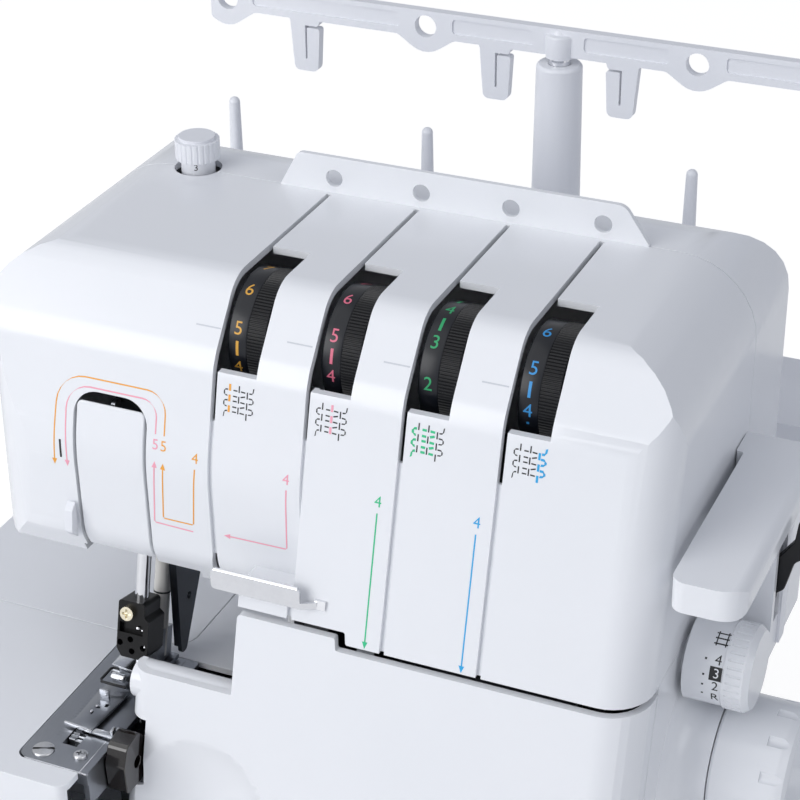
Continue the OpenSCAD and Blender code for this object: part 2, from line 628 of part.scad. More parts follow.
module motor() color("dimgray") difference() {
    union() {
        rod_x(motor_x, motor_x + motor_l, motor_y, motor_z, motor_r);
        rod_x(motor_x + motor_l - 1, motor_x + motor_l + 3, motor_y, motor_z, 9);
        block(motor_x + 10, motor_y - 18, floor_z + 6, motor_x + motor_l - 10, motor_y + 18, motor_z);
    }
    rod_x(motor_x + motor_l - 12, motor_x + motor_l + 4, motor_y, motor_z, 3 + running);
}

inlet_y = 4;
inlet_z = 40;
module inlet_socket() color("black") difference() {
    along_x(body_right - 16, body_right + 0.6)
        polygon(rounded(rect(inlet_y - 10.7, inlet_z - 7.2, inlet_y + 10.7, inlet_z + 7.2, 2)));
    along_x(body_right - 10, body_right + 2) polygon(rounded(rect(inlet_y - 8, inlet_z - 4.6, inlet_y + 8, inlet_z + 4.6, 2)));
}

switch_y = inlet_y;
switch_z = 66;
module power_switch() color("black") difference() {
    translate([body_right - 5, switch_y, switch_z]) rotate([90, 0, 0]) along_z(-6.4, 6.4)
        polygon(concat([[-3, -7], [3.5, -9.2]], arc(30.5, 0, 26.5, 200, 160, 8), [[3.5, 9.2], [-3, 7]]));
    rod_y(switch_y - 8, switch_y + 8, body_right - 5, switch_z, 1.2 + running);
}

// ---- inner frame ----

floor_z = shell_bottom + 2;
back_wall = [-16, -9];
arm_low = head_bottom + 18;
arm_high = 192;
ear_w = 6.5;
ear_t = 7;
lift_pin = [needle_x + 6.6, needle_x + 17];
feed_bar = [needle_x - 14, needle_x - 8];
module cast_frame() color("silver") difference() {
    union() {
        block(needle_x - 22, -100, shell_bottom, body_right - 6, 52, floor_z + 6);
        block(bearing_left - 6, back_wall[0], floor_z, bearing_right + 8, back_wall[1], arm_high);
        block(needle_x - 40, back_wall[0], arm_low, bearing_left, back_wall[1], arm_high);
        block(bearing_left - 6, shaft_y - 16, floor_z, bearing_left + 4, back_wall[1], 148);
        block(bearing_right, shaft_y - 16, floor_z, bearing_right + 8, back_wall[1], 148);
        // ears of the needle bar and the presser bar
        for (z = [arm_low, arm_high - ear_t])
            block(needle_x - ear_w, needle_at(z) - 6, z, needle_x + ear_w, back_wall[1], z + ear_t);
        // lug and pin of the presser lifter
        block(lift_pin[1] - 4.6, lift_axis[0] - 5, lift_axis[1] - 5, lift_pin[1], lift_axis[0] + 5, arm_low + 6);
        block(lift_pin[1] - 4.6, lift_axis[0] - 5, arm_low, lift_pin[1], back_wall[1], arm_low + 6);
        rod_x(lift_pin[0], lift_pin[1] - 1, lift_axis[0], lift_axis[1], 2.5);
        // bracket under the feed bar
        block(feed_bar[0] - 4, -34, floor_z, feed_bar[1] + 4, -24, 79);
        block(feed_bar[0] - 4, -34, 79, feed_bar[0] - fit, -24, 93);
        block(feed_bar[1] + fit, -34, 79, feed_bar[1] + 4, -24, 93);
        // posts that carry the needle plate and the lower knife
        block(plate_left + 1, plate_front + 2, floor_z, plate_left + 12, feed_front + 1.4, bed_h - plate_t);
        block(plate_left + 1, plate_back - 10, floor_z, feed_bar[0] - 0.6, plate_back - 2, bed_h - plate_t);
        block(feed_bar[1] + 1, plate_back - 5.6, floor_z, feed_bar[1] + 7, plate_back - 1.5, bed_h - plate_t);
        block(plate_left + 1, plate_front + 2, shell_bottom, plate_left + 12, -90, floor_z + 6);
        block(knife_x - 7, needle_y - 25, floor_z, knife_x - 1.2, needle_y - 15, 82);
        // bosses of the looper shafts
        for (s = looper_shafts) rod_y(back_wall[1] - 26, back_wall[1], s[0], s[1], 8);
        block(lower_pivot[0] - 8, back_wall[0], floor_z, bearing_left, back_wall[1], lower_pivot[1] + 6);
        // tongue that the tension posts stand on
        block(slot_x - 6, dial_y - 12, arm_high - 6, slot_xs[3] + 26, back_wall[1], arm_high);
        // rails that the casing screws into
        for (x = [slot_x + 30, bearing_right - 8]) block(x, back_wall[1] - 1, 120, x + 8, back_y - wall - fit, 128);
        block(bearing_right + 6, shaft_y - 16, 106, body_right - wall - fit, shaft_y + 10, 128);
    }
    rod_x(bearing_left - 12, body_right, shaft_y, shaft_z, shaft_r + running);
    rod_x(bearing_left + 6, body_right, stitch_y, stitch_z, dial_hole_r + 6);
    for (s = looper_shafts) rod_y(-60, 0, s[0], s[1], looper_shaft_r + running);
    leaning() {
        rod_z(arm_low - 8, arm_high + 14, needle_x, needle_y, needle_bar_r + running);
        rod_z(arm_low - 8, arm_high + 14, needle_x, presser_y, presser_bar_r + running);
    }
    // way for the belt
    block(pulley_x - 4, back_wall[0] - 1, floor_z + 8, pulley_x + belt_w + 3, back_wall[1] + 1, 140);
    // bed of the motor
    rod_x(motor_x - 30, body_right, motor_y, motor_z, motor_r + fit);
}

// ---- loopers and knives ----

looper_shaft_r = 4;
upper_pivot = [column_x + 22, 58];
lower_pivot = [column_x - 20, 44];
looper_shafts = [upper_pivot, lower_pivot];
looper_y = needle_y + 2;

module looper_arm(pivot, outline, y) {
    rod_y(y - 5, back_wall[1] - 1, pivot[0], pivot[1], looper_shaft_r);
    difference() {
        rod_y(y - 4, y + 4, pivot[0], pivot[1], looper_shaft_r + 5);
        rod_y(y - 5, y + 5, pivot[0], pivot[1], looper_shaft_r);
    }
    along_y(y - 1.2, y + 1.2) polygon(outline);
}

module upper_looper() color("silver") looper_arm(upper_pivot, concat(
    [[upper_pivot[0] - 7, upper_pivot[1] - 3], [upper_pivot[0] - 4, upper_pivot[1] + 8]],
    arc(upper_pivot[0] - 30, upper_pivot[1] + 4, 30, 15, 88, 10),
    arc(upper_pivot[0] - 30, upper_pivot[1] + 14, 16, 90, 150, 6),
    arc(upper_pivot[0] - 30, upper_pivot[1] + 4, 23, 90, 10, 10)), looper_y - 4);

module lower_looper() color("silver") looper_arm(lower_pivot, concat(
    [[lower_pivot[0] + 7, lower_pivot[1] + 2], [lower_pivot[0] + 3, lower_pivot[1] + 14]],
    arc(lower_pivot[0] - 10, lower_pivot[1] + 20, 14, 0, 100, 8),
    [[lower_pivot[0] - 30, lower_pivot[1] + 37], [lower_pivot[0] - 30, lower_pivot[1] + 35.6]],
    arc(lower_pivot[0] - 10, lower_pivot[1] + 18, 9, 100, 0, 8),
    [[lower_pivot[0] - 6, lower_pivot[1] + 6]]), looper_y + 4);

knife_x = needle_x + 14;
holder_y = [needle_y - 13, needle_y - 7];
holder_x = column_x - 10;
knife_bar_z = 55;                           // passes below the upper looper
module upper_knife() color("silver") {
    along_x(knife_x, knife_x + 1.6) polygon([[needle_y - 24, 93], [needle_y - 8, 93], [holder_y[1], 106],
        [holder_y[1], 113], [holder_y[0], 113], [holder_y[0], 106], [needle_y - 24, 101]]);
    block(knife_x + 1.6, holder_y[0], 106, holder_x, holder_y[1], 113);
    block(holder_x - 6, holder_y[0], knife_bar_z, holder_x, holder_y[1], 113);
    block(holder_x - 6, holder_y[0], knife_bar_z, bearing_left - 1, holder_y[1], knife_bar_z + 7);
    block(bearing_left - 8, holder_y[0], knife_bar_z, bearing_left - 1, shaft_y - 16 - fit, knife_bar_z + 7);
}

guard_low = bed_h - 15.6;
module knife_guard() color("black") difference() {
    along_x(plate_left + plate_w + fit, plate_left + plate_w + 8) polygon(rounded([
        [plate_front + 12, guard_low, 2], [plate_front + 26, guard_low, 2], [plate_front + 28, guard_low + 14, 4],
        [plate_front + 22, guard_low + 20.5, 4], [plate_front + 14, guard_low + 19, 3],
        [plate_front + 11, guard_low + 12, 3]]));
    rod_x(plate_left + plate_w, plate_left + plate_w + 9, plate_front + 20, guard_low + 9, 2.2);
}

module lower_knife() color("silver") along_x(knife_x - 1.2, knife_x - fit) polygon([[needle_y - 24, 70],
    [needle_y - 14, 70], [needle_y - 14, bed_h - 0.2], [needle_y - 24, bed_h - 0.8]]);

// ---- needle plate, feed and foot ----

step_y = plate_back - 22;
module needle_plate() color("silver") difference() {
    union() {
        along_z(bed_h - plate_t, bed_h) polygon(rounded([[plate_left, plate_front, 5],
            [plate_left + plate_w, plate_front, 0.6], [plate_left + plate_w, step_y, 0.5],
            [plate_left + plate_w + 5, step_y, 0.5], [plate_left + plate_w + 5, plate_back, 1],
            [plate_left, plate_back, 1]]));
        block(plate_left + plate_w - plate_t, plate_front + 0.6, bed_h - 14, plate_left + plate_w, plate_front + 30, bed_h);
        block(plate_left + 10, plate_front, bed_h - 5, plate_left + plate_w, plate_front + plate_t, bed_h - 1);
    }
    for (s = feed_slots) block(s[0], s[1], bed_h - 3, s[0] + s[2], s[3], bed_h + 1);
    leaning() for (x = needle_xs) rod_z(bed_h - 8, bed_h + 6, needle_x + x, needle_y - x / 1.6, 1.4);
    for (s = plate_screw_spots) translate([s[0], s[1], bed_h - s[2]]) cylinder(h = 3, r = s[3] + 0.1);
}

feed_front = plate_front + 11;
feed_rear = needle_y - 6;
// left edge, front edge, width, back edge
feed_slots = [[plate_left + 6.5, feed_front, 3.4, feed_rear], [plate_left + 11.5, feed_front, 3.4, feed_rear],
    [plate_left + 16.5, feed_front + 8, 2.6, feed_rear - 16]];
plate_screw_spots = [[plate_left + 7.3, plate_front + 6, 1.2, 3.9], [plate_left + 20.6, plate_front + 8.5, 1.2, 2.6]];

module plate_screws() color("silver") {
    for (s = plate_screw_spots) difference() {
        rod_z(bed_h - 1.2 + eps, bed_h + 0.3, s[0], s[1], s[3]);
        block(s[0] - s[3], s[1] - 0.45, bed_h - 0.5, s[0] + s[3], s[1] + 0.45, bed_h + 1);
    }
}

tooth = 1.6;
module feed_dog() color("silver") {
    for (s = feed_slots) along_x(s[0] + 0.5, s[0] + s[2] - 0.5) polygon(concat(
        [[s[3] - 3.4, 92], [s[3] - 3.4, bed_h + 0.3]],
        [for (y = [s[3] - 3.4 - tooth : -tooth : s[1] + 3.4]) each [[y, bed_h + 0.3], [y + 0.1, bed_h - 0.6]]],
        [[s[1] + 3.2, 92]]));
    block(feed_bar[0], feed_front + 3, 86, needle_x - 1.8, feed_rear - 3, 92);
    block(feed_bar[0], feed_rear - 4, 86, feed_bar[1], -20, 92);
}

foot_x = needle_x - 1.5;
foot_y = presser_at(bed_h + 6);
shank_low = bed_h + 7;
module presser_foot() color("silver") difference() {
    union() {
        // sole, turned up at the toe
        along_x(foot_x - 11, foot_x + 7) polygon(rounded([[needle_y - 41, bed_h + 4.2, 0.3],
            [needle_y - 36, bed_h + 0.7, 1], [foot_y + 5, bed_h + 0.7, 0.5], [foot_y + 5, bed_h + 2.5, 0.5],
            [needle_y - 35.4, bed_h + 2.5, 1], [needle_y - 40.4, bed_h + 5.8, 0.3]]));
        // stitch finger
        block(foot_x + 7, needle_y - 30, bed_h + 1, foot_x + 9, needle_y + 4, bed_h + 2.4);
        // ankle and shank
        block(foot_x - 4, foot_y - 5, bed_h + 0.7, foot_x + 4, foot_y + 4.4, bed_h + 7);
        leaning() block(foot_x - 3.4, presser_y - 6.6, shank_low - 1, foot_x + 4.4, presser_y + 4.4, shank_low + 11);
        // thread tab
        block(foot_x - 8, needle_y - 18, bed_h + 2, foot_x - 2, needle_y - 17, bed_h + 7.5);
    }
    block(needle_x - 2.2, needle_at(bed_h) - 5, bed_h, needle_x + 5, needle_at(bed_h) + 3.4, bed_h + 5);
    leaning() rod_z(shank_low, shank_low + 12, needle_x, presser_y, presser_bar_r);
}

spring_low = arm_high + 9.6;
spring_top = arm_high + 28.2;
coil_r = 0.8;
module presser_bar() color("silver") leaning() {
    rod_z(shank_low, spring_top - 6.8, needle_x, presser_y, presser_bar_r);
    // guide that the lifter raises
    difference() {
        block(needle_x - 5, presser_y - 5, arm_low - 8, needle_x + 5, presser_y + 5, arm_low - 5);
        rod_z(arm_low - 9, arm_low, needle_x, presser_y, presser_bar_r - 0.1);
    }
    // collar below the spring
    rod_z(spring_low - 2.6, spring_low - 0.2, needle_x, presser_y, presser_bar_r + 3);
}

coil_n = 10;
coil_pitch = (spring_top - spring_low - 2 * coil_r - 0.1) / (coil_n - 1);
module presser_spring() color("silver") leaning() for (i = [0:coil_n - 1])
    translate([needle_x, presser_y, spring_low + coil_r + i * coil_pitch])
        rotate_extrude() translate([presser_bar_r + 1.4, 0]) circle(r = coil_r, $fn = 16);

module pressure_screw() color("silver") {
    // lever that carries the knob's push over to the spring
    leaning() block(knob_x - 2, presser_y - 4, spring_top, needle_x + 4, presser_y + 4, spring_top + 3.2);
    block(knob_x - 4, presser_at(arm_high + 24) - 3, arm_high + 23, knob_x + 4, knob_y + 4, arm_high + 26);
    block(knob_x - 4, back_wall[0], arm_high, knob_x + 4, back_wall[1], arm_high + 23.5);
}

cap_r = 8.2;
cap_z = casing_h + 8;
module pressure_knob() color("white") difference() {
    union() {
        rod_z(arm_high + 26.2, cap_z + 1, knob_x, knob_y, 6.2);
        rod_z(cap_z, cap_z + 7.2, knob_x, knob_y, cap_r);
        rod_z(cap_z + 7, cap_z + 8.4, knob_x, knob_y, cap_r - 1.6);
    }
    for (i = [0:23]) translate([knob_x, knob_y, cap_z - 1]) rotate([0, 0, i * 15])
        translate([cap_r + 0.2, 0, 0]) cylinder(h = 12, r = 0.5);
}

lift_axis = [presser_y + 15, arm_low - 6];
module presser_lifter() color("dimgray") difference() {
    union() {
        along_x(needle_x + 7.1, needle_x + 8.6) polygon(rounded([[presser_y - 5, bed_h + 5, 2],
            [presser_y - 1, bed_h + 5, 2], [presser_y + 14, bed_h + 34, 6], [lift_axis[0] + 8, lift_axis[1] - 4, 4],
            [lift_axis[0] + 8, lift_axis[1] + 8, 5], [presser_y - 5, lift_axis[1] + 8, 3]]));
        block(needle_x + 5.6, presser_y - 5, bed_h + 8, needle_x + 8.6, presser_y - 3.4, lift_axis[1] + 2);
        rod_x(needle_x + 7.1, needle_x + 12, lift_axis[0], lift_axis[1], 5);
    }
    rod_x(needle_x, needle_x + 20, lift_axis[0], lift_axis[1], 2.5 + running);
    rod_x(needle_x, needle_x + 20, presser_y + 3, bed_h + 26, 1.4);
}

clamp_low = bed_h + 13;
clamp_h = 21.4;
clamp_front = needle_y - 6.2;
clamp_xs = [needle_x - 5.8, needle_x + 4.6, needle_x + 6.5];
needle_xs = [0, 3.2];
clamp_screw_x = needle_x - 1.6;
clamp_screw_z = clamp_low + 17.1;
module needle_bar() color("silver") leaning()
    rod_z(clamp_low + 6, arm_high + needle_stroke - 12, needle_x, needle_y, needle_bar_r);

module needle_clamp() color("black") leaning() difference() {
    along_y(clamp_front, needle_y + 5.4) polygon(rounded([[clamp_xs[0], clamp_low + 3, 0.8], [clamp_xs[0] + 2, clamp_low, 0.6],
        [clamp_xs[2] - 1.6, clamp_low, 0.6], [clamp_xs[2], clamp_low + 2.4, 0.6], [clamp_xs[2], clamp_low + 15, 0.8],
        [clamp_xs[1], clamp_low + 16.4, 0.5], [clamp_xs[1], clamp_low + clamp_h, 1.4],
        [clamp_xs[0], clamp_low + clamp_h, 1.2]]));
    rod_z(clamp_low + 6, clamp_low + clamp_h + 1, needle_x, needle_y, needle_bar_r);
    block(clamp_xs[0] + 0.8, clamp_front - 1, clamp_low + 9.2, clamp_xs[1] - 0.2, clamp_front + 2, clamp_low + 13.2);
    for (p = [[-4.5, 5.2], [-0.4, 7.1], [0.4, 2.7], [4.7, 4.8]])
        rod_y(clamp_front - 1, clamp_front + 3.2, needle_x + p[0], clamp_low + p[1], 1.15);
    rod_y(clamp_front - 1, clamp_front + 3.4, clamp_screw_x, clamp_screw_z, 1.6);
    for (x = needle_xs) rod_z(clamp_low - 1, clamp_low + 5.6, needle_x + x, needle_y - x / 1.6, 0.85);
}

module clamp_screw() color("gold") leaning() difference() {
    union() {
        rod_y(clamp_front - 1.8, clamp_front, clamp_screw_x, clamp_screw_z, 2.6);
        rod_y(clamp_front - eps, clamp_front + 3.3, clamp_screw_x, clamp_screw_z, 1.6);
    }
    block(clamp_screw_x - 0.4, clamp_front - 2, clamp_screw_z - 1.7, clamp_screw_x + 0.4, clamp_front - 1, clamp_screw_z + 1.7);
    block(clamp_screw_x - 1.7, clamp_front - 2, clamp_screw_z - 0.4, clamp_screw_x + 1.7, clamp_front - 1, clamp_screw_z + 0.4);
}

module needles() color("silver") leaning() for (x = needle_xs) translate([needle_x + x, needle_y - x / 1.6, 0]) {
    rod_z(clamp_low - 4, clamp_low + 5.6, 0, 0, 0.85);
    translate([0, 0, bed_h - 13]) cylinder(h = 14, r1 = 0.12, r2 = 0.5);
    rod_z(bed_h + 0.5, clamp_low - 3.5, 0, 0, 0.5);
}

take_up_x = needle_x - ear_w - fit - 1.6;
module take_up_lever() color("silver") {
    block(take_up_x, head_belly + 6, arm_high - 30, take_up_x + 1.6, back_wall[0] - fit, arm_high - 26);
    along_x(take_up_x, take_up_x + 1.6) polygon(rounded([[head_belly + 6, arm_high - 30, 1],
        [head_belly + 10, arm_high - 30, 1], [head_belly + 15, arm_high + 18, 2], [head_belly + 10.4, arm_high + 18, 2]]));
}

// ---- tension units ----

module tension_dial(i) color("black") {
    x = slot_xs[i];
    difference() {
        translate([x + 1, dial_y, dial_z]) rotate([0, 90, 0]) rotate_extrude()
            polygon([[3 + running, 0], [dial_r - 1.2, 0], [dial_r - 0.4, 0.8], [dial_r - 0.4, 6],
                [dial_r, 6.4], [dial_r, dial_w - 0.8], [dial_r - 0.8, dial_w], [3 + running, dial_w]]);
        for (k = [0:39]) translate([x + 7.4, dial_y, dial_z]) rotate([k * 9, 0, 0])
            translate([0, 0, dial_r + 0.25]) rotate([0, 90, 0]) cylinder(h = 8, r = 0.65, $fn = 16);
    }
}
module tension_dial_1() tension_dial(0);
module tension_dial_2() tension_dial(1);
module tension_dial_3() tension_dial(2);
module tension_dial_4() tension_dial(3);

post_reach = 19;
module tension_posts() color("silver") for (x = slot_xs) {
    rod_x(x - 6, x + post_reach, dial_y, dial_z, 3);
    block(x + dial_w + 2, dial_y - 5, arm_high, x + post_reach, dial_y + 5, dial_z + 5);
}

module tension_discs() color("silver") for (x = slot_xs, s = [-1, 1])
    translate([x + s * 0.35, dial_y, dial_z]) rotate([0, 90 * s, 0]) rotate_extrude()
        polygon([[3.1, 0], [9, 0], [11, 0.15], [11, 0.35], [9, 0.2], [3.1, 0.2]]);

// ---- thread guides ----

guide_y = parting_y - 0.4;
guide_x = slot_x + 1.4;
module top_thread_guide() color("white") difference() {
    along_y(guide_y, guide_y + 2) polygon(rounded([[guide_x - 21.4, casing_h, 0.3],
        [slot_xs[3] + 16.4, casing_h, 0.3], [slot_xs[3] + 7, casing_h + 13.6, 5], [guide_x - 14, casing_h + 13.6, 3]]));
    for (i = [0:3]) rod_y(guide_y - 1, guide_y + 3, guide_x + i * (slot_pitch - 0.6), casing_h + 5.6, 3.2);
}

guide_low = head_bottom + 11.5;
module front_thread_guide() color("silver") {
    along_y(face_y + 0.2, face_y + 1) polygon(rounded(rect(lip_left - 9, guide_low, lip_left + 24, guide_low + 7.4, 1.6)));
    rod_x(lip_left - 8, lip_left + 23, face_y + 1.1, guide_low + 7, 0.9);
    // arm to the leaning face and its foot
    along_z(guide_low, guide_low + 2.4) polygon([[lip_left + 23, face_y + 0.2], [lip_left + 24.6, face_y + 0.2],
        [lip_left + 29, face_y + 2.6], [lip_left + 29, front_at(guide_low) - 0.1], [lip_left + 23, face_y + 1]]);
    along_x(lip_left + 28, lip_left + 32) polygon([[front_at(guide_low) - 0.9, guide_low], [front_at(guide_low) - eps, guide_low],
        [front_at(guide_low + 3) - eps, guide_low + 3], [front_at(guide_low + 3) - 0.9, guide_low + 3]]);
}

module left_thread_guide() color("wheat") along_x(take_up_left - 3.6, take_up_left - 0.4)
    polygon(rounded([[head_belly - 0.2, head_bottom + 9, 0.4], [head_belly - 0.2, head_bottom + 24, 0.4],
        [head_belly - 3, head_bottom + 21, 1], [head_belly - 4.2, head_bottom + 13, 1.5]]));

module lamp_lens() color("ivory")
    block(needle_x + 18, needle_y + 3, head_bottom - 0.6, column_x - 24 - seam, presser_y + 4, head_bottom + wall + 3);

// ---- spool stand ----

tray_arm_xs = [pole_x - 58, pole_x + 58];
module spool_tray() color("white") difference() {
    union() {
        difference() {
            along_z(tray_z - tray_t, tray_z) polygon(rounded(rect(tray_x, tray_front, tray_x + tray_l, tray_back, 8)));
            along_z(tray_z - tray_t - 1, tray_z - wall)
                polygon(rounded(inset(rect(tray_x, tray_front, tray_x + tray_l, tray_back, 8), wall)));
            rod_z(tray_z - tray_t, tray_z + 1, pole_x, pole_y, rod_r + running);
        }
        // arms to the back of the casing
        for (x = tray_arm_xs) along_x(x - 12, x + 12) polygon([[back_y, tray_z - tray_t - 14],
            [tray_front + 12, tray_z - tray_t + 1], [tray_front + 12, tray_z - wall + 0.5],
            [tray_front, tray_z - wall + 0.5], [tray_front, tray_z - 5], [back_y, tray_z - 5]]);
        for (dx = pin_xs) rod_z(tray_z - tray_t + 1, tray_z + 1.4, pole_x + dx, pole_y, 7);
        rod_z(tray_z - tray_t + 1, tray_z - 1, pole_x, pole_y, 14);
    }
    for (x = tray_arm_xs) rod_y(back_y - 1, tray_front, x, tray_z - tray_t - 4, 1.7);
    for (x = tray_arm_xs) rod_y(back_y + 8, tray_back, x, tray_z - tray_t - 4, 4);
    for (dx = pin_xs) rod_z(tray_z - tray_t, tray_z + 2, pole_x + dx, pole_y, 3);
    rod_z(tray_z - tray_t, tray_z + 1, pole_x, pole_y, rod_r + running);
}

module tray_screws() color("silver") for (x = tray_arm_xs) {
    rod_y(back_y - 6, back_y + 8, x, tray_z - tray_t - 4, 1.6);
    rod_y(back_y + 8, back_y + 10.5, x, tray_z - tray_t - 4, 3.4);
}

module spool_pins() color("white") for (dx = pin_xs) translate([pole_x + dx, pole_y, tray_z - tray_t + 2])
    rotate_extrude() polygon(concat([[0, 0], [3, 0], [3, tray_t - 0.4], [4.4, tray_t - 0.4], [3.6, tray_t + 8]],
        arc(0, tray_t + pin_h - 4.2, 2.2, 0, 90, 6)));

module pole_sleeve() color("white") difference() {
    translate([pole_x, pole_y, tray_z]) rotate_extrude(convexity = 4) polygon([[rod_r + running, 0], [13, 0], [13, 3],
        [10.2, 6], [8.8, sleeve_h - 1], [8, sleeve_h], [rod_r + running, sleeve_h]]);
}

module tree_rod() color("silver") rod_z(tray_z - tray_t + 2, tree_z - tree_t / 2 + 3.9, pole_x, pole_y, rod_r);

tree_y = [pole_y - 2, pole_y + 2];
tree_top = tree_z + tree_t / 2;
tree_low = tree_z - tree_t / 2;
ring_z = tree_z - 1;
hook_drop = 21;
lobe_end = tree_l / 2 - pin_far;
strip_xs = [[10, pin_near - 11], [pin_near + 11, pin_far - 11]];

// Hook whose slit a thread slips into, open towards the pole
module hook(x, side) {
    translate([x, 0, 0]) mirror([side > 0 ? 1 : 0, 0, 0]) along_y(tree_y[0], tree_y[1])
        polygon(rounded([[-7.4, tree_low + 1, 0], [-6.6, tree_low - 1, 1.5], [-5, tree_low - hook_drop, 2.4],
            [5, tree_low - hook_drop, 2.4], [6, tree_low - 3.1, 1], [0.5, tree_low - 3.1, 0.4],
            [0.5, tree_low - hook_drop + 5, 0], [-0.3, tree_low - hook_drop + 5, 0],
            [-0.3, tree_low - 2.2, 0], [5.2, tree_low - 2.2, 1], [6.4, tree_low + 1, 0]], 4));
}

module thread_tree() color("white") difference() {
    union() {
        along_y(tree_y[0], tree_y[1]) polygon(rounded(rect(pole_x - tree_l / 2, tree_low,
            pole_x + tree_l / 2, tree_top, 3)));
        // lobes below the rings
        for (dx = pin_xs) translate([pole_x + dx, 0, 0]) mirror([dx < 0 ? 1 : 0, 0, 0]) along_y(tree_y[0], tree_y[1])
            polygon(rounded(concat([[-15, tree_low + 1, 0], [-15, tree_low, 0], [-11.8, tree_low, 4]],
                abs(dx) == pin_far ? [[0, tree_low - 8, 9], [lobe_end, tree_low - 4, 2], [lobe_end, tree_low + 3, 0]]
                : [[0, tree_low - 8, 10], [11.8, tree_low, 4], [15, tree_low, 0], [15, tree_low + 1, 0]]), 5));
        for (dx = hook_xs) hook(pole_x + dx, dx);
        // hub that sits on the rod
        translate([pole_x, pole_y, tree_low]) rotate_extrude() polygon([[0, -2.6], [4.9, -2.6], [5.3, -1.8],
            [5.3, 3], [2, tree_t - 0.4], [0, tree_t - 0.4]]);
    }
    for (dx = pin_xs) rod_y(tree_y[0] - 1, tree_y[1] + 1, pole_x + dx, ring_z, 4.4);
    // shallow strips that thin the bar between its rings
    for (strip = strip_xs, flip = [0, 1], y = [tree_y[0] - 1, tree_y[1] - 0.7])
        translate([pole_x, 0, 0]) mirror([flip, 0, 0]) along_y(y, y + 1.7)
            polygon(rounded(rect(strip[0], tree_low + 2.8, strip[1], tree_top - 2, 1.4), 3));
    rod_z(tree_low - 3, tree_low + 4, pole_x, pole_y, rod_r + running);
}

base_tray();
rubber_feet();
cast_frame();
rear_casing();
front_casing();
bed_cover();
inner_bed_cover();
cloth_plate_cover();
cloth_plate_hinge();
looper_cover();
looper_cover_rod();
side_cover();
take_up_cover();
needle_plate();
plate_screws();
feed_dog();
presser_foot();
presser_bar();
presser_spring();
presser_lifter();
needle_bar();
needle_clamp();
clamp_screw();
needles();
upper_knife();
knife_guard();
lower_knife();
upper_looper();
lower_looper();
take_up_lever();
tension_dial_1();
tension_dial_2();
tension_dial_3();
tension_dial_4();
tension_posts();
tension_discs();
top_thread_guide();
front_thread_guide();
left_thread_guide();
pressure_knob();
pressure_screw();
stitch_dial();
differential_lever();
feed_scale();
handwheel();
main_shaft();
shaft_pulley();
motor();
motor_pulley();
timing_belt();
inlet_socket();
power_switch();
lamp_lens();
spool_tray();
tray_screws();
spool_pins();
pole_sleeve();
tree_rod();
thread_tree();
casing_screws();
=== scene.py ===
import bpy, math, json
from mathutils import Vector, Matrix


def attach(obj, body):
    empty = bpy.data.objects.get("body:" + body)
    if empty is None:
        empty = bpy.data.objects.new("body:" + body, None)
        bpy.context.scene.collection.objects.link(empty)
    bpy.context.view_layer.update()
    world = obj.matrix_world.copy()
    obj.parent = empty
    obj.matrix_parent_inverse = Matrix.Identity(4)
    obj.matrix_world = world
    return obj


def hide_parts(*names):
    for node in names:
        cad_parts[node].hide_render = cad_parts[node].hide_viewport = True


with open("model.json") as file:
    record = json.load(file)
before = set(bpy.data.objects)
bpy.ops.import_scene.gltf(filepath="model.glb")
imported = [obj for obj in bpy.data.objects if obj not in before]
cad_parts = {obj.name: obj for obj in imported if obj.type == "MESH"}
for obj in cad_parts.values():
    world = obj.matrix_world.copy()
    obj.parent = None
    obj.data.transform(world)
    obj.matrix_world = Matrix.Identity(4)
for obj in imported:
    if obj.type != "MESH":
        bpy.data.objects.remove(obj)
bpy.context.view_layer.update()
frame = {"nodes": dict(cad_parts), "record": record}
mm = 0.001
print("frame loaded:", len(frame["nodes"]), "nodes")


# sRGB hex code to linear colour
def hexColour(code, alpha=1.0):
    parts = [int(code[i:i + 2], 16) / 255 for i in (0, 2, 4)]
    return [c / 12.92 if c <= 0.04045 else ((c + 0.055) / 1.055) ** 2.4 for c in parts] + [alpha]


def deselectAll():
    if bpy.context.mode != "OBJECT":
        bpy.ops.object.mode_set(mode="OBJECT")
    bpy.ops.object.select_all(action="DESELECT")


def makeActive(obj):
    deselectAll()
    obj.select_set(True)
    bpy.context.view_layer.objects.active = obj


def applyAll(obj):
    makeActive(obj)
    for modifier in list(obj.modifiers):
        bpy.ops.object.modifier_apply(modifier=modifier.name)


def addNode(tree, kind, settings=None, links=None):
    node = tree.nodes.new(kind)
    for name, value in (settings or {}).items():
        if isinstance(name, int) or name in node.inputs:
            node.inputs[name].default_value = value
        else:
            setattr(node, name, value)
    for name, socket in (links or {}).items():
        tree.links.new(socket, node.inputs[name])
    return node


# Joins pieces into the first of them and gives it back
def joinPieces(parts):
    deselectAll()
    for part in parts:
        part.select_set(True)
    bpy.context.view_layer.objects.active = parts[0]
    if len(parts) > 1:
        bpy.ops.object.join()
    return bpy.context.object


# Sides of a turned piece, and the angles in degrees from which its kind of edge is eased or stays crisp
edgeFacts = {"sides": 64, "turned": 50, "sheet": 40, "crisp": 35}


# Rounds every edge that bends more than angle, in millimetres and degrees
def easeEdges(piece, width, segments, angle):
    bevel = piece.modifiers.new("ease", "BEVEL")
    bevel.width, bevel.segments = width * mm, segments
    bevel.limit_method, bevel.angle_limit = "ANGLE", math.radians(angle)


# Selects the points of a piece that a test picks, and leaves it in edit mode
def selectPoints(piece, chosen):
    bpy.ops.object.mode_set(mode="EDIT")
    bpy.ops.mesh.select_all(action="DESELECT")
    bpy.ops.object.mode_set(mode="OBJECT")
    for vertex in piece.data.vertices:
        vertex.select = chosen(vertex)
    bpy.ops.object.mode_set(mode="EDIT")


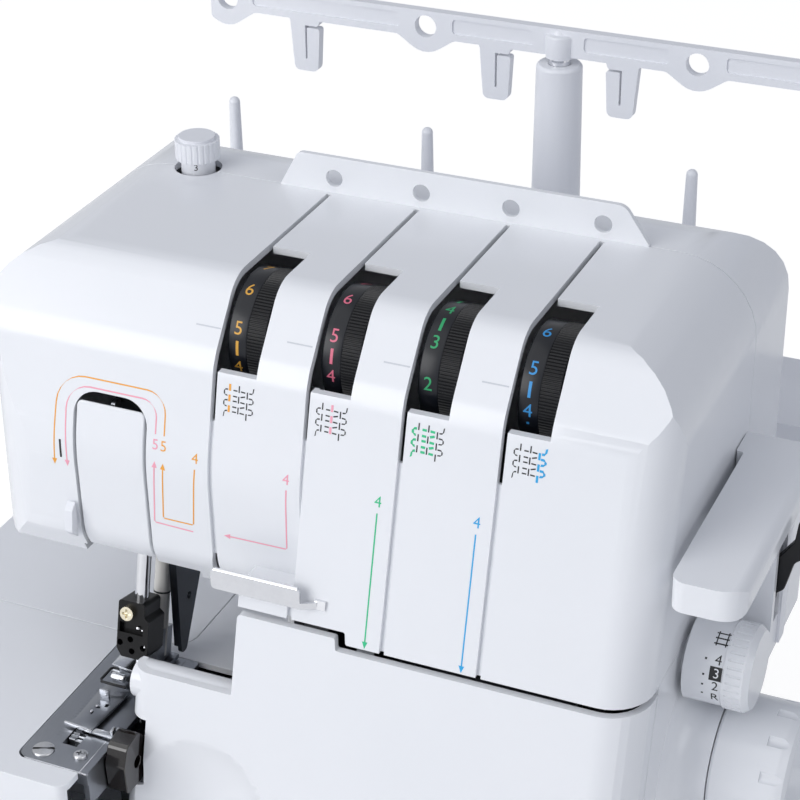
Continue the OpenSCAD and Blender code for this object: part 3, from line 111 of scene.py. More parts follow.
cameraFacts = {
    "place": (0.28198, -0.63511, 0.57880),
    "right": (0.918284, 0.395889, -0.005191),
    "back": (0.347755, -0.800230, 0.488567),
    "lens": 99.885, "sensor": 36,
    "shiftX": -0.0054, "shiftY": 0.0008,
    "near": 0.05, "far": 50,
}


def makeCamera(facts):
    bpy.ops.object.camera_add(location=facts["place"])
    camera = bpy.context.object
    back = Vector(facts["back"]).normalized()
    right = (Vector(facts["right"]) - back * back.dot(Vector(facts["right"]))).normalized()
    turn = Matrix((right, back.cross(right), back)).transposed()
    camera.rotation_mode = "QUATERNION"
    camera.rotation_quaternion = turn.to_quaternion()
    camera.data.lens, camera.data.sensor_width = facts["lens"], facts["sensor"]
    camera.data.shift_x, camera.data.shift_y = facts["shiftX"], facts["shiftY"]
    camera.data.clip_start, camera.data.clip_end = facts["near"], facts["far"]
    bpy.context.scene.camera = camera


makeCamera(cameraFacts)


# Material by name, with its node tree and its shader
def newMaterial(name):
    material = bpy.data.materials.new(name)
    material.use_nodes = True
    tree = material.node_tree
    shader = tree.nodes["Principled BSDF"]
    return material, tree, shader


# The object's own coordinates, stretched along each axis
def objectPlace(tree, scale=(1, 1, 1)):
    place = addNode(tree, "ShaderNodeTexCoord")
    return addNode(tree, "ShaderNodeMapping", {"Scale": scale},
                   {"Vector": place.outputs["Object"]}).outputs["Vector"]


# Base colour that runs between two tones as a pattern rises
def blendTones(tree, shader, pattern, low, high):
    tint = addNode(tree, "ShaderNodeMix", {"data_type": "RGBA"}, {"Factor": pattern})
    tint.inputs[6].default_value = low
    tint.inputs[7].default_value = high
    tree.links.new(tint.outputs[2], shader.inputs["Base Color"])


plasticFacts = {
    "bumpMm": 0.05,              # height of the moulded grain at full strength
    "ior": 1.53,                 # styrene and nylon plastics
    "coatRough": 0.06,
    "underMm": (1.2, 1.2, 1.1),  # how far light runs under the skin
}


# Colour that wanders a little between two tones, and a bump of one grain size
def mouldedPlastic(name, facts):
    material, tree, shader = newMaterial(name)
    place = objectPlace(tree)
    cloud = addNode(tree, "ShaderNodeTexNoise",
                    {"Scale": 1 / (facts["cloudMm"] * mm), "Detail": 2.0, "Roughness": 0.5},
                    {"Vector": place})
    blendTones(tree, shader, cloud.outputs["Fac"], hexColour(facts["colour"]), hexColour(facts["colourB"]))
    gloss = addNode(tree, "ShaderNodeMapRange",
                    {"To Min": facts["rough"] - facts["roughSpread"],
                     "To Max": facts["rough"] + facts["roughSpread"]},
                    {"Value": cloud.outputs["Fac"]})
    tree.links.new(gloss.outputs["Result"], shader.inputs["Roughness"])
    grain = addNode(tree, "ShaderNodeTexNoise", {"Scale": 1 / (facts["grainMm"] * mm), "Detail": 2.0},
                    {"Vector": place})
    bump = addNode(tree, "ShaderNodeBump",
                   {"Strength": facts["grainDepth"], "Distance": plasticFacts["bumpMm"] * mm},
                   {"Height": grain.outputs["Fac"]})
    tree.links.new(bump.outputs["Normal"], shader.inputs["Normal"])
    shader.inputs["IOR"].default_value = facts.get("ior", plasticFacts["ior"])
    shader.inputs["Coat Weight"].default_value = facts.get("coat", 0.0)
    shader.inputs["Coat Roughness"].default_value = plasticFacts["coatRough"]
    shader.inputs["Subsurface Weight"].default_value = facts.get("under", 0.0)
    shader.inputs["Subsurface Radius"].default_value = [reach * mm for reach in plasticFacts["underMm"]]
    return material


metalFacts = {"bumpMm": 0.02, "roughLow": 0.8, "roughHigh": 1.25}


# Metal with fine grinding lines along one direction
def groundMetal(name, facts):
    material, tree, shader = newMaterial(name)
    place = objectPlace(tree, scale=facts["stretch"])
    lines = addNode(tree, "ShaderNodeTexNoise",
                    {"Scale": 1 / (facts["lineMm"] * mm), "Detail": 3.0, "Roughness": 0.6},
                    {"Vector": place})
    blendTones(tree, shader, lines.outputs["Fac"], hexColour(facts["colour"]), hexColour(facts["colourB"]))
    gloss = addNode(tree, "ShaderNodeMapRange",
                    {"To Min": facts["rough"] * metalFacts["roughLow"],
                     "To Max": facts["rough"] * metalFacts["roughHigh"]},
                    {"Value": lines.outputs["Fac"]})
    tree.links.new(gloss.outputs["Result"], shader.inputs["Roughness"])
    bump = addNode(tree, "ShaderNodeBump",
                   {"Strength": facts["bump"], "Distance": metalFacts["bumpMm"] * mm},
                   {"Height": lines.outputs["Fac"]})
    tree.links.new(bump.outputs["Normal"], shader.inputs["Normal"])
    shader.inputs["Metallic"].default_value = 1.0
    return material


inkSkin = {"speckleMm": 0.25, "paler": 1.08, "lift": 0.01, "rough": 0.45}


# Pad-printed ink: flat colour with a faint speckle where the pad left less of it
def padInk(name, code):
    material, tree, shader = newMaterial(name)
    speckle = addNode(tree, "ShaderNodeTexNoise", {"Scale": 1 / (inkSkin["speckleMm"] * mm), "Detail": 1.0},
                      {"Vector": objectPlace(tree)})
    base = hexColour(code)
    thin = [min(1, c * inkSkin["paler"] + inkSkin["lift"]) for c in base[:3]] + [1]
    blendTones(tree, shader, speckle.outputs["Fac"], base, thin)
    shader.inputs["Roughness"].default_value = inkSkin["rough"]
    return material


materials = {
    # ABS, injection moulded in a polished tool: soft wide highlights with a faint waviness
    "glossyAbs": mouldedPlastic("glossyMouldedAbs", {
        "colour": "EEF0F3", "colourB": "F2F3F6", "cloudMm": 60, "rough": 0.2, "roughSpread": 0.02,
        "grainMm": 9, "grainDepth": 0.03, "under": 0.03}),
    # polypropylene, moulded: the same white with a duller skin
    "satinWhite": mouldedPlastic("satinMouldedPolypropylene", {
        "colour": "E9EBF0", "colourB": "EFF0F4", "cloudMm": 40, "rough": 0.36, "roughSpread": 0.04,
        "grainMm": 0.8, "grainDepth": 0.06, "under": 0.05}),
    # nylon, moulded black: a satin sheen with a fine grain
    "blackNylon": mouldedPlastic("satinBlackNylon", {
        "colour": "0D0E11", "colourB": "14151A", "cloudMm": 10, "rough": 0.38, "roughSpread": 0.05,
        "grainMm": 0.35, "grainDepth": 0.18, "ior": 1.4}),
    # black acetal: glossier than nylon, used for small machined-looking pieces
    "blackAcetal": mouldedPlastic("glossBlackAcetal", {
        "colour": "040405", "colourB": "09090B", "cloudMm": 8, "rough": 0.3, "roughSpread": 0.05,
        "grainMm": 0.5, "grainDepth": 0.1, "ior": 1.36}),
    # smoked polycarbonate guard: near black with a brown cast and sharp highlights
    "smokedGuard": mouldedPlastic("smokedPolycarbonate", {
        "colour": "0E0A09", "colourB": "17100D", "cloudMm": 6, "rough": 0.12, "roughSpread": 0.03,
        "grainMm": 3, "grainDepth": 0.02, "coat": 0.5}),
    # clear moulded lens over the lamp, seen as a pale milky block
    "lampLens": mouldedPlastic("milkyAcrylic", {
        "colour": "E8E6DA", "colourB": "F2F0E6", "cloudMm": 8, "rough": 0.2, "roughSpread": 0.03,
        "grainMm": 2, "grainDepth": 0.05, "under": 0.2}),
    # moulded rubber: dull, with a coarse skin
    "footRubber": mouldedPlastic("mouldedRubber", {
        "colour": "2A2B2D", "colourB": "353638", "cloudMm": 5, "rough": 0.75, "roughSpread": 0.05,
        "grainMm": 0.6, "grainDepth": 0.4}),
    # steel ground on a belt: fine lines along the plate
    "groundSteel": groundMetal("beltGroundSteel", {
        "colour": "8F9298", "colourB": "9B9EA4", "lineMm": 0.35, "rough": 0.3, "stretch": (1, 0.06, 1),
        "bump": 0.04}),
    # polished and chromed steel: mirror bright, hardly any lines
    "chrome": groundMetal("chromedSteel", {
        "colour": "D9DADE", "colourB": "E4E5E8", "lineMm": 3, "rough": 0.08, "stretch": (1, 1, 1),
        "bump": 0.02}),
    # zinc plated steel, a little cloudy
    "zincSteel": groundMetal("zincPlatedSteel", {
        "colour": "B4B6B9", "colourB": "CACBCE", "lineMm": 1.2, "rough": 0.3, "stretch": (1, 1, 1),
        "bump": 0.05}),
    # steel blackened by oxide: dark grey with a soft shine
    "blackenedSteel": groundMetal("blackOxideSteel", {
        "colour": "3A3D42", "colourB": "4A4E54", "lineMm": 0.8, "rough": 0.36, "stretch": (1, 1, 0.2),
        "bump": 0.1}),
    # die-cast aluminium, as cast: grey with a pebbled skin
    "castAlloy": groundMetal("dieCastAluminium", {
        "colour": "6E7175", "colourB": "85888C", "lineMm": 0.7, "rough": 0.5, "stretch": (1, 1, 1),
        "bump": 0.5}),
    # yellow zinc plating on the clamp's screw: brassy, bright on its edges
    "yellowZinc": groundMetal("yellowZincPlating", {
        "colour": "D9CFB4", "colourB": "EFE8D4", "lineMm": 0.6, "rough": 0.25, "stretch": (1, 1, 1),
        "bump": 0.08}),
    # enamelled steel, cream white: the presser bar
    "creamEnamel": mouldedPlastic("creamEnamel", {
        "colour": "DCDAD4", "colourB": "E4E2DE", "cloudMm": 12, "rough": 0.25, "roughSpread": 0.03,
        "grainMm": 2, "grainDepth": 0.03}),
    # the front's threading inks, pale on the white casing
    "orangeInk": padInk("orangeInk", "F0A83C"),
    "pinkInk": padInk("pinkInk", "F2A4B6"),
    "greenInk": padInk("greenInk", "2FC187"),
    "blueInk": padInk("blueInk", "25A6E0"),
    "blackInk": padInk("blackInk", "17181A"),
    # the same four colours on the black dials, deeper
    "dialOrange": padInk("dialOrangeInk", "D9A23A"),
    "dialPink": padInk("dialPinkInk", "D96A83"),
    "dialGreen": padInk("dialGreenInk", "1E9E62"),
    "dialBlue": padInk("dialBlueInk", "2E8FD0"),
    # index strokes and the number in the stitch dial's black box
    "greyInk": padInk("greyInk", "C9CCD2"),
    "whiteInk": padInk("whiteInk", "EDEEF0"),
    # stamped steel in a brighter colour than the ground plate, and a little smoother: a painted highlight
    # for the feed teeth and the foot's wing, tab and ankle that catch the lamps
    "paintedHighlightSteel": groundMetal("steelWithPaintedHighlight", {
        "colour": "C4C7CC", "colourB": "D6D8DC", "lineMm": 1.0, "rough": 0.2, "stretch": (1, 0.3, 1),
        "bump": 0.04}),
    # the dials' smooth band: polished nylon, a soft grey-blue shine along its crown
    "dialBand": mouldedPlastic("polishedBlackNylon", {
        "colour": "101218", "colourB": "171A22", "cloudMm": 10, "rough": 0.3, "roughSpread": 0.04,
        "grainMm": 0.5, "grainDepth": 0.08, "ior": 1.4}),
}
print("materials made:", len(materials))


bodyOf = {}
for bodyName, nodeNames in frame["record"]["behaviour"]["bodies"].items():
    for nodeName in nodeNames:
        bodyOf[nodeName] = bodyName


dressFacts = {
    "mergeMm": 0.004,  # points nearer than this become one
    "flat": 0.4,       # degrees between faces that become one
    "sharp": 30,       # degrees from which an edge is eased and stays crisp
    "segments": 2,
}


# A copy of a CAD node with its doubles merged, its edges eased and its faces shaded smooth
def dressNode(node, material, ease):
    source = frame["nodes"][node]
    piece = source.copy()
    piece.data = source.data.copy()
    piece.name = node + "_dressed"
    for key in list(piece.keys()):
        if key.startswith("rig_"):
            del piece[key]
    bpy.context.collection.objects.link(piece)
    piece.parent = None
    piece.matrix_world = Matrix.Identity(4)
    makeActive(piece)
    bpy.ops.object.mode_set(mode="EDIT")
    bpy.ops.mesh.select_all(action="SELECT")
    bpy.ops.mesh.remove_doubles(threshold=dressFacts["mergeMm"] * mm)
    bpy.ops.mesh.dissolve_limited(angle_limit=math.radians(dressFacts["flat"]))
    bpy.ops.object.mode_set(mode="OBJECT")
    if ease > 0:
        easeEdges(piece, ease, dressFacts["segments"], dressFacts["sharp"])
    normals = piece.modifiers.new("faces", "WEIGHTED_NORMAL")
    normals.keep_sharp = True
    bpy.ops.object.shade_smooth_by_angle(angle=math.radians(dressFacts["sharp"]))
    applyAll(piece)
    piece.data.materials.clear()
    piece.data.materials.append(materials[material])
    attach(piece, bodyOf[node])
    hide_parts(node)
    return piece


# node: its material and the width of its eased edges in millimetres
looks = {
    "rear_casing": ("glossyAbs", 0.3), "front_casing": ("glossyAbs", 0.35),
    "take_up_cover": ("glossyAbs", 0.4), "looper_cover": ("glossyAbs", 0.35),
    "side_cover": ("glossyAbs", 0.4), "bed_cover": ("glossyAbs", 0.4),
    "inner_bed_cover": ("glossyAbs", 0.15), "cloth_plate_cover": ("glossyAbs", 0.4),
    "base_tray": ("satinWhite", 0.5), "rubber_feet": ("footRubber", 0.4),
    "cast_frame": ("castAlloy", 0.3), "cloth_plate_hinge": ("zincSteel", 0.1),
    "looper_cover_rod": ("zincSteel", 0.1), "needle_plate": ("groundSteel", 0.12),
    "plate_screws": ("zincSteel", 0.08), "feed_dog": ("groundSteel", 0.0),
    "presser_foot": ("groundSteel", 0.1), "presser_bar": ("creamEnamel", 0.1),
    "presser_spring": ("zincSteel", 0.0), "presser_lifter": ("blackenedSteel", 0.15),
    "needle_bar": ("chrome", 0.1), "needle_clamp": ("blackAcetal", 0.25),
    "clamp_screw": ("yellowZinc", 0.1), "needles": ("chrome", 0.0), "upper_knife": ("groundSteel", 0.1),
    "knife_guard": ("smokedGuard", 0.3), "lower_knife": ("groundSteel", 0.05),
    "upper_looper": ("groundSteel", 0.15), "lower_looper": ("groundSteel", 0.15),
    "take_up_lever": ("groundSteel", 0.1), "tension_dial_1": ("blackNylon", 0.12),
    "tension_dial_2": ("blackNylon", 0.12), "tension_dial_3": ("blackNylon", 0.12),
    "tension_dial_4": ("blackNylon", 0.12), "tension_posts": ("zincSteel", 0.1),
    "tension_discs": ("chrome", 0.0), "top_thread_guide": ("glossyAbs", 0.3),
    "front_thread_guide": ("chrome", 0.1), "left_thread_guide": ("satinWhite", 0.2),
    "pressure_knob": ("satinWhite", 0.2), "pressure_screw": ("groundSteel", 0.1),
    "stitch_dial": ("glossyAbs", 0.15), "differential_lever": ("blackNylon", 0.3),
    "feed_scale": ("satinWhite", 0.1), "handwheel": ("glossyAbs", 0.3),
    "main_shaft": ("groundSteel", 0.2), "shaft_pulley": ("blackNylon", 0.2),
    "motor": ("blackenedSteel", 0.4), "motor_pulley": ("blackNylon", 0.1),
    "timing_belt": ("footRubber", 0.1), "inlet_socket": ("blackNylon", 0.2),
    "power_switch": ("blackNylon", 0.2), "lamp_lens": ("lampLens", 0.3),
    "spool_tray": ("satinWhite", 0.5), "tray_screws": ("zincSteel", 0.1),
    "spool_pins": ("satinWhite", 0.15), "pole_sleeve": ("satinWhite", 0.3), "tree_rod": ("chrome", 0.1),
    "thread_tree": ("satinWhite", 0.3), "casing_screws": ("zincSteel", 0.1),
}
pieces = {}
for node, (material, ease) in looks.items():
    pieces[node] = dressNode(node, material, ease)
print("dressed", len(pieces), "carried-over pieces")


inkFacts = {
    "lift": 0.05,       # ink stands this far off the skin
    "front": -150,      # plane ahead of the machine where each mark is drawn
    "cornerSteps": 6,
    "longestStep": 2.0, "shortestStep": 0.02,
    "barbs": 4,         # an arrowhead is this many times as wide as its line
    "bodyHigh": 1.42,   # font size over the height of a digit
    "textCuts": 2, "barCuts": 6, "barLift": 1,
}


# Corners of a line in the front plane, with each inner corner rounded off
def roundedPath(corners, radius):
    points = [Vector(corners[0])]
    for before, corner, after in zip(corners, corners[1:], corners[2:]):
        backward, forward = Vector(before) - Vector(corner), Vector(after) - Vector(corner)
        inward, outward = backward.normalized(), forward.normalized()
        half = inward.angle(outward) / 2
        cut = min(radius / math.tan(half), backward.length * 0.5)
        middle = Vector(corner) + (inward + outward).normalized() * cut / math.cos(half)
        start, end = Vector(corner) + inward * cut - middle, Vector(corner) + outward * cut - middle
        for i in range(inkFacts["cornerSteps"] + 1):
            arc = start.slerp(end, i / inkFacts["cornerSteps"]) * start.length
            points.append(middle + arc if radius > 0 else Vector(corner))
    points.append(Vector(corners[-1]))
    steps = [points[0]]
    for point in points[1:]:
        gap = point - steps[-1]
        if gap.length < inkFacts["shortestStep"]:
            continue
        count = max(1, math.ceil(gap.length / inkFacts["longestStep"]))
        last = steps[-1]
        steps += [last + gap * (i + 1) / count for i in range(count)]
    return steps


# A flat line of ink in front of the machine, drawn by pulling its end edge along
def inkLine(corners, width, material, radius=0, arrow=0):
    depth = inkFacts["front"]
    corners = [Vector(corner) for corner in corners]
    corners[-1] -= (corners[-1] - corners[-2]).normalized() * arrow
    path = roundedPath(corners, radius)
    turns = [math.atan2((b - a).y, (b - a).x) for a, b in zip(path, path[1:])]
    first = path[0] + (path[1] - path[0]).normalized() * width / 2
    deselectAll()
    bpy.ops.mesh.primitive_plane_add(size=width * mm, location=(first.x * mm, depth * mm, first.y * mm),
                                     rotation=(math.pi / 2, -turns[0], 0))
    line = bpy.context.object
    selectPoints(line, lambda vertex: vertex.index in (1, 3))
    here, heading = path[0] + (path[1] - path[0]).normalized() * width, turns[0]
    for i, point in enumerate(path[1:]):
        move = point - here
        bpy.ops.mesh.extrude_region_move(TRANSFORM_OT_translate={"value": (move.x * mm, 0, move.y * mm)})
        if i + 1 < len(turns):
            change = (turns[i + 1] - turns[i] + math.pi) % (2 * math.pi) - math.pi
            # the rotate tool turns the other way about Y than the heading does
            bpy.ops.transform.rotate(value=heading - turns[i] - change / 2, orient_axis="Y",
                                     center_override=(point.x * mm, depth * mm, point.y * mm))
            heading = turns[i] + change / 2
        here = point
    if arrow:
        tip = Vector((math.cos(turns[-1]), math.sin(turns[-1]))) * arrow
        bpy.ops.mesh.extrude_region_move(TRANSFORM_OT_translate={"value": (0, 0, 0)})
        bpy.ops.transform.resize(value=[inkFacts["barbs"]] * 3,
                                 center_override=(here.x * mm, depth * mm, here.y * mm))
        bpy.ops.mesh.extrude_region_move(TRANSFORM_OT_translate={"value": (tip.x * mm, 0, tip.y * mm)})
        bpy.ops.mesh.merge(type="CENTER")
    bpy.ops.object.mode_set(mode="OBJECT")
    bpy.ops.object.transform_apply()
    line.data.materials.append(materials[material])
    return line


# One digit or letter, facing out of the machine at the given slant
def inkText(words, place, height, material, slant=math.pi / 2):
    deselectAll()
    bpy.ops.object.text_add(location=[c * mm for c in place], rotation=(slant, 0, 0))
    text = bpy.context.object
    text.data.body = words
    text.data.size = height * inkFacts["bodyHigh"] * mm
    text.data.align_x, text.data.align_y = "CENTER", "CENTER"
    bpy.ops.object.convert(target="MESH")
    text = bpy.context.object
    text.data.materials.clear()
    text.data.materials.append(materials[material])
    bpy.ops.object.mode_set(mode="EDIT")
    bpy.ops.mesh.select_all(action="SELECT")
    bpy.ops.mesh.subdivide(number_cuts=inkFacts["textCuts"])
    bpy.ops.object.mode_set(mode="OBJECT")
    return text


# Lays ink on a piece along one local axis of the ink, then fixes its place
def layInk(ink, target, axis="Y", positive=True):
    makeActive(ink)
    wrap = ink.modifiers.new("lay", "SHRINKWRAP")
    wrap.wrap_method = "PROJECT"
    wrap.target = target
    wrap.use_project_x, wrap.use_project_y, wrap.use_project_z = axis == "X", axis == "Y", axis == "Z"
    wrap.use_positive_direction, wrap.use_negative_direction = positive, not positive
    wrap.offset = inkFacts["lift"] * mm
    bpy.ops.object.modifier_apply(modifier=wrap.name)
    bpy.ops.object.transform_apply()
    return ink


def joinInk(parts, name, body):
    ink = joinPieces(parts)
    ink.name = name
    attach(ink, body)


# Marks on the head's front, as places (x, z) in millimetres
frontFacts = {
    "line": 0.5, "arrow": 2.4, "digitHigh": 3.7,
    # coloured paths: their corners and the radius of each turn
    "paths": {
        "orangeThreading": ("orangeInk", [
            ([(-47.5, 206.3), (-47.5, 220.8), (-89, 220.8), (-90.4, 186.8)], 11),
            ([(-35.7, 197), (-37.4, 174.6), (-49, 174.6), (-47.7, 196.6)], 0.6)]),
        "pinkThreading": ("pinkInk", [
            ([(-50.8, 206.4), (-50.8, 217.6), (-85.6, 217.6), (-85.3, 187.1)], 9),
            ([(-37.7, 171.8), (-52.6, 172.2), (-50.9, 196.8)], 0.6),
            ([(-1.7, 197), (-2.3, 173.7), (-25.9, 173.4)], 0.6)]),
    },
    "digits": [("5", -50.7, 202.7, "pinkInk"), ("5", -47.6, 202.6, "orangeInk"),
               ("4", -35.6, 200.8, "orangeInk"), ("4", -1.9, 200.6, "pinkInk"),
               ("4", 31.8, 201, "greenInk"), ("4", 66, 201.4, "blueInk")],
    # straight lines down to the looper cover: x, top and ink
    "downLines": [(31.8, 197.3, "greenInk"), (66, 197.7, "blueInk")], "downEnd": 151.6,
    "guideStroke": ([(-87.7, 197.1), (-87.6, 190.2)], 0.8),
    # one thin stroke left of each dial's window
    "indexLefts": [-40.4, -7.1, 27.3, 61], "indexHigh": 243.6, "indexLong": 9.1, "indexLine": 0.4,
}


# One bed for the ink: the head's skins joined, dropped once the marks lie on it
def makeInkBed(nodes):
    skins = []
    for node in nodes:
        skin = pieces[node].copy()
        skin.data = skin.data.copy()
        skin.parent = None
        for key in list(skin.keys()):
            del skin[key]
        bpy.context.collection.objects.link(skin)
        skins.insert(0, skin)
    return joinPieces(skins)


casing = makeInkBed(["front_casing", "rear_casing", "take_up_cover"])
casingBody = bodyOf["front_casing"]


def drawThreadingMarks(facts):
    line, arrow = facts["line"], facts["arrow"]
    for name, (ink, paths) in facts["paths"].items():
        drawn = [layInk(inkLine(corners, line, ink, radius, arrow), casing) for corners, radius in paths]
        joinInk(drawn, name, casingBody)
    digits = [layInk(inkText(word, (x, inkFacts["front"], z), facts["digitHigh"], ink), casing, "Z", False)
              for word, x, z, ink in facts["digits"]]
    joinInk(digits, "threadingDigits", casingBody)
    downLines = [layInk(inkLine([(x, top), (x, facts["downEnd"])], line, ink, arrow=arrow), casing)
                 for x, top, ink in facts["downLines"]]
    corners, width = facts["guideStroke"]
    downLines.append(layInk(inkLine(corners, width, "blackInk"), casing))
    joinInk(downLines, "threadingDownLines", casingBody)
    high, reach = facts["indexHigh"], facts["indexLong"]
    indexMarks = [layInk(inkLine([(x, high), (x + reach, high)], facts["indexLine"], "greyInk"), casing)
                  for x in facts["indexLefts"]]
    joinInk(indexMarks, "dialIndexMarks", casingBody)


# Sketch of the stitch below each dial: two needle columns, the loops between them and a looped edge
sketchFacts = {
    "pitch": 3.15, "rows": 3, "inset": 0.35, "wider": 1.15, "taller": 1.14,
    "bold": 0.8, "thin": 0.45, "turn": 0.5,
    # left, low, the strokes in colour and their ink
    "places": [(-26.2, 217.5, "needleLeft", "orangeInk"), (7.6, 218, "needleRight", "pinkInk"),
               (41.3, 218, "loops", "greenInk"), (75.7, 218.2, "edge", "blueInk")],
}


def stitchStrokes():
    strokes = {"needleLeft": [], "needleRight": [], "loops": [], "edge": []}
    for i in range(sketchFacts["rows"]):
        low = sketchFacts["pitch"] * i
        strokes["needleLeft"].append([(1.4, low + 1.5), (1.4, low + 3.5)])
        strokes["needleRight"].append([(4.35, low + 1.4), (4.35, low + 3.4)])
        strokes["edge"].append([(7.0, low), (7.0, low + 2.0)])
        strokes["loops"] += [[(2.5, low + 1.8), (3.8, low + 1.8)], [(4.9, low + 1.8), (6.3, low + 1.7)]]
        if i < sketchFacts["rows"] - 1:
            strokes["loops"] += [[(2.5, low + 3.25), (3.8, low + 3.2)], [(4.9, low + 3.3), (6.3, low + 3.7)],
                                 [(0.85, low + 5.0), (-0.3, low + 4.9), (-0.3, low + 3.3), (0.7, low + 3.2)]]
            strokes["edge"].append([(7.5, low + 3.4), (8.9, low + 3.3), (8.9, low + 1.9), (7.6, low + 1.8)])
    strokes["loops"].append([(0.9, 1.9), (0, 1.7), (-0.2, 0)])
    strokes["edge"].append([(7.6, 8.0), (8.7, 8.1), (8.9, 9.7)])
    return strokes


def drawStitchSketch(name, left, low, coloured, ink):
    drawn = []
    for group, strokes in stitchStrokes().items():
        width, colour = sketchFacts["thin"], "blackInk"
        if group == coloured:
            width, colour = sketchFacts["bold"], ink
        for stroke in strokes:
            corners = [(left + sketchFacts["inset"] + u * sketchFacts["wider"],
                        low + v * sketchFacts["taller"]) for u, v in stroke]
            drawn.append(layInk(inkLine(corners, width, colour, sketchFacts["turn"]), casing))
    joinInk(drawn, name, casingBody)


drawThreadingMarks(frontFacts)
for number, (left, low, coloured, ink) in enumerate(sketchFacts["places"], 1):
    drawStitchSketch("stitchSketch" + str(number), left, low, coloured, ink)
bpy.data.objects.remove(casing)
print("front marks printed")


# A drum turns about X; angle 0 faces the front and 90 faces up
dialFacts = {
    "axisY": -44.6, "axisZ": 235.7, "radius": 20.7,
    "bandStart": 1.0, "bandEnd": 7.9, "bandLower": 0.15, "sides": 128, "edge": 0.5,
    "ribEnd": 14.2, "ribs": 115, "ribDepth": 0.45,
    # marks on the band: bars and dots by their length round it and their width
    "digitIn": 4.4, "digitHigh": 4.6, "digitLift": 1, "bar": (5.2, 1.0), "dot": (0.9, 0.9),
}
# number: left side, ink, digits with their angles, then the angles of the bars and dots between them
dialMarks = {
    1: (-30, "dialOrange", [("7", 101), ("6", 62.4), ("5", 23.8), ("4", -15)], [5], []),
    2: (4, "dialPink", [("7", 111), ("6", 73), ("5", 34.1), ("4", -4.3)], [15.6], []),
    3: (38, "dialGreen", [("4", 85.2), ("3", 45.9), ("2", 7.3)], [65.2, 110], []),
    4: (72, "dialBlue", [("6", 79.1), ("5", 40), ("4", 1.3)], [21.3], [-11.1]),
}


def turnedDisc(name, left, right, radius, material):
    deselectAll()
    bpy.ops.mesh.primitive_cylinder_add(
        vertices=dialFacts["sides"], radius=radius * mm, depth=(right - left) * mm,
        location=((left + right) / 2 * mm, dialFacts["axisY"] * mm, dialFacts["axisZ"] * mm),
        rotation=(0, math.pi / 2, 0))
    disc = bpy.context.object
    disc.name = name
    bpy.ops.object.transform_apply()
    easeEdges(disc, dialFacts["edge"], 3, edgeFacts["turned"])
    applyAll(disc)
    bpy.ops.object.shade_smooth_by_angle(angle=math.radians(edgeFacts["crisp"]))
    disc.data.materials.append(materials[material])
    return disc


# Outline with one groove between each two ribs, pulled out along the axle
def ribbedDisc(name, left, right, facts, material):
    deselectAll()
    centre = (left * mm, facts["axisY"] * mm, facts["axisZ"] * mm)
    bpy.ops.mesh.primitive_circle_add(vertices=facts["ribs"] * 4, radius=facts["radius"] * mm,
                                      fill_type="NGON", location=centre, rotation=(0, math.pi / 2, 0))
    disc = bpy.context.object
    disc.name = name
    selectPoints(disc, lambda vertex: vertex.index % 4 in (0, 1))
    shrink = 1 - facts["ribDepth"] / facts["radius"]
    bpy.ops.transform.resize(value=(shrink, shrink, shrink), center_override=centre)
    bpy.ops.mesh.select_all(action="SELECT")
    bpy.ops.mesh.extrude_region_move(TRANSFORM_OT_translate={"value": ((right - left) * mm, 0, 0)})
    bpy.ops.mesh.select_all(action="SELECT")
    bpy.ops.mesh.normals_make_consistent(inside=False)
    bpy.ops.object.mode_set(mode="OBJECT")
    bpy.ops.object.transform_apply()
    disc.data.materials.append(materials[material])
    return disc


def onDrum(drum, x, angle, lift):
    reach = drum["radius"] + lift
    turn = math.radians(angle)
    return (x, drum["axisY"] - reach * math.cos(turn), drum["axisZ"] + reach * math.sin(turn))


def drumText(drum, word, x, angle, height, material):
    place = onDrum(drum, x, angle, drum["digitLift"])
    return inkText(word, place, height, material, math.pi / 2 - math.radians(angle))


# A bar of ink just off a drum, long round it and wide along its axle
def drumBar(drum, x, angle, length, width, material):
    deselectAll()
    place = onDrum(drum, x, angle, inkFacts["barLift"])
    bpy.ops.mesh.primitive_plane_add(size=1, location=[c * mm for c in place],
                                     rotation=(math.pi / 2 - math.radians(angle), 0, 0))
    bar = bpy.context.object
    bar.scale = (width * mm, length * mm, 1)
    bpy.ops.object.mode_set(mode="EDIT")
    bpy.ops.mesh.select_all(action="SELECT")
    bpy.ops.mesh.subdivide(number_cuts=inkFacts["barCuts"])
    bpy.ops.object.mode_set(mode="OBJECT")
    bar.data.materials.append(materials[material])
    return bar


def makeDial(number, left, ink, digits, bars, dots):
    node = "tension_dial_" + str(number)
    facts = dialFacts
    bpy.data.objects.remove(pieces[node])
    band = turnedDisc(node + "Band", left + facts["bandStart"], left + facts["bandEnd"],
                      facts["radius"] - facts["bandLower"], "dialBand")
    grip = ribbedDisc(node + "Grip", left + facts["bandEnd"], left + facts["ribEnd"], facts, "blackNylon")
    middle = left + facts["digitIn"]
    marks = [drumText(facts, word, middle, angle, facts["digitHigh"], ink) for word, angle in digits]
    marks += [drumBar(facts, middle, angle, *facts["bar"], ink) for angle in bars]
    marks += [drumBar(facts, middle, angle, *facts["dot"], ink) for angle in dots]
    joinInk([layInk(mark, band, "Z", False) for mark in marks], node + "Marks", bodyOf[node])
    for piece in (band, grip):
        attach(piece, bodyOf[node])
        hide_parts(node)


for number, (left, ink, digits, bars, dots) in dialMarks.items():
    makeDial(number, left, ink, digits, bars, dots)
print("tension dials made")


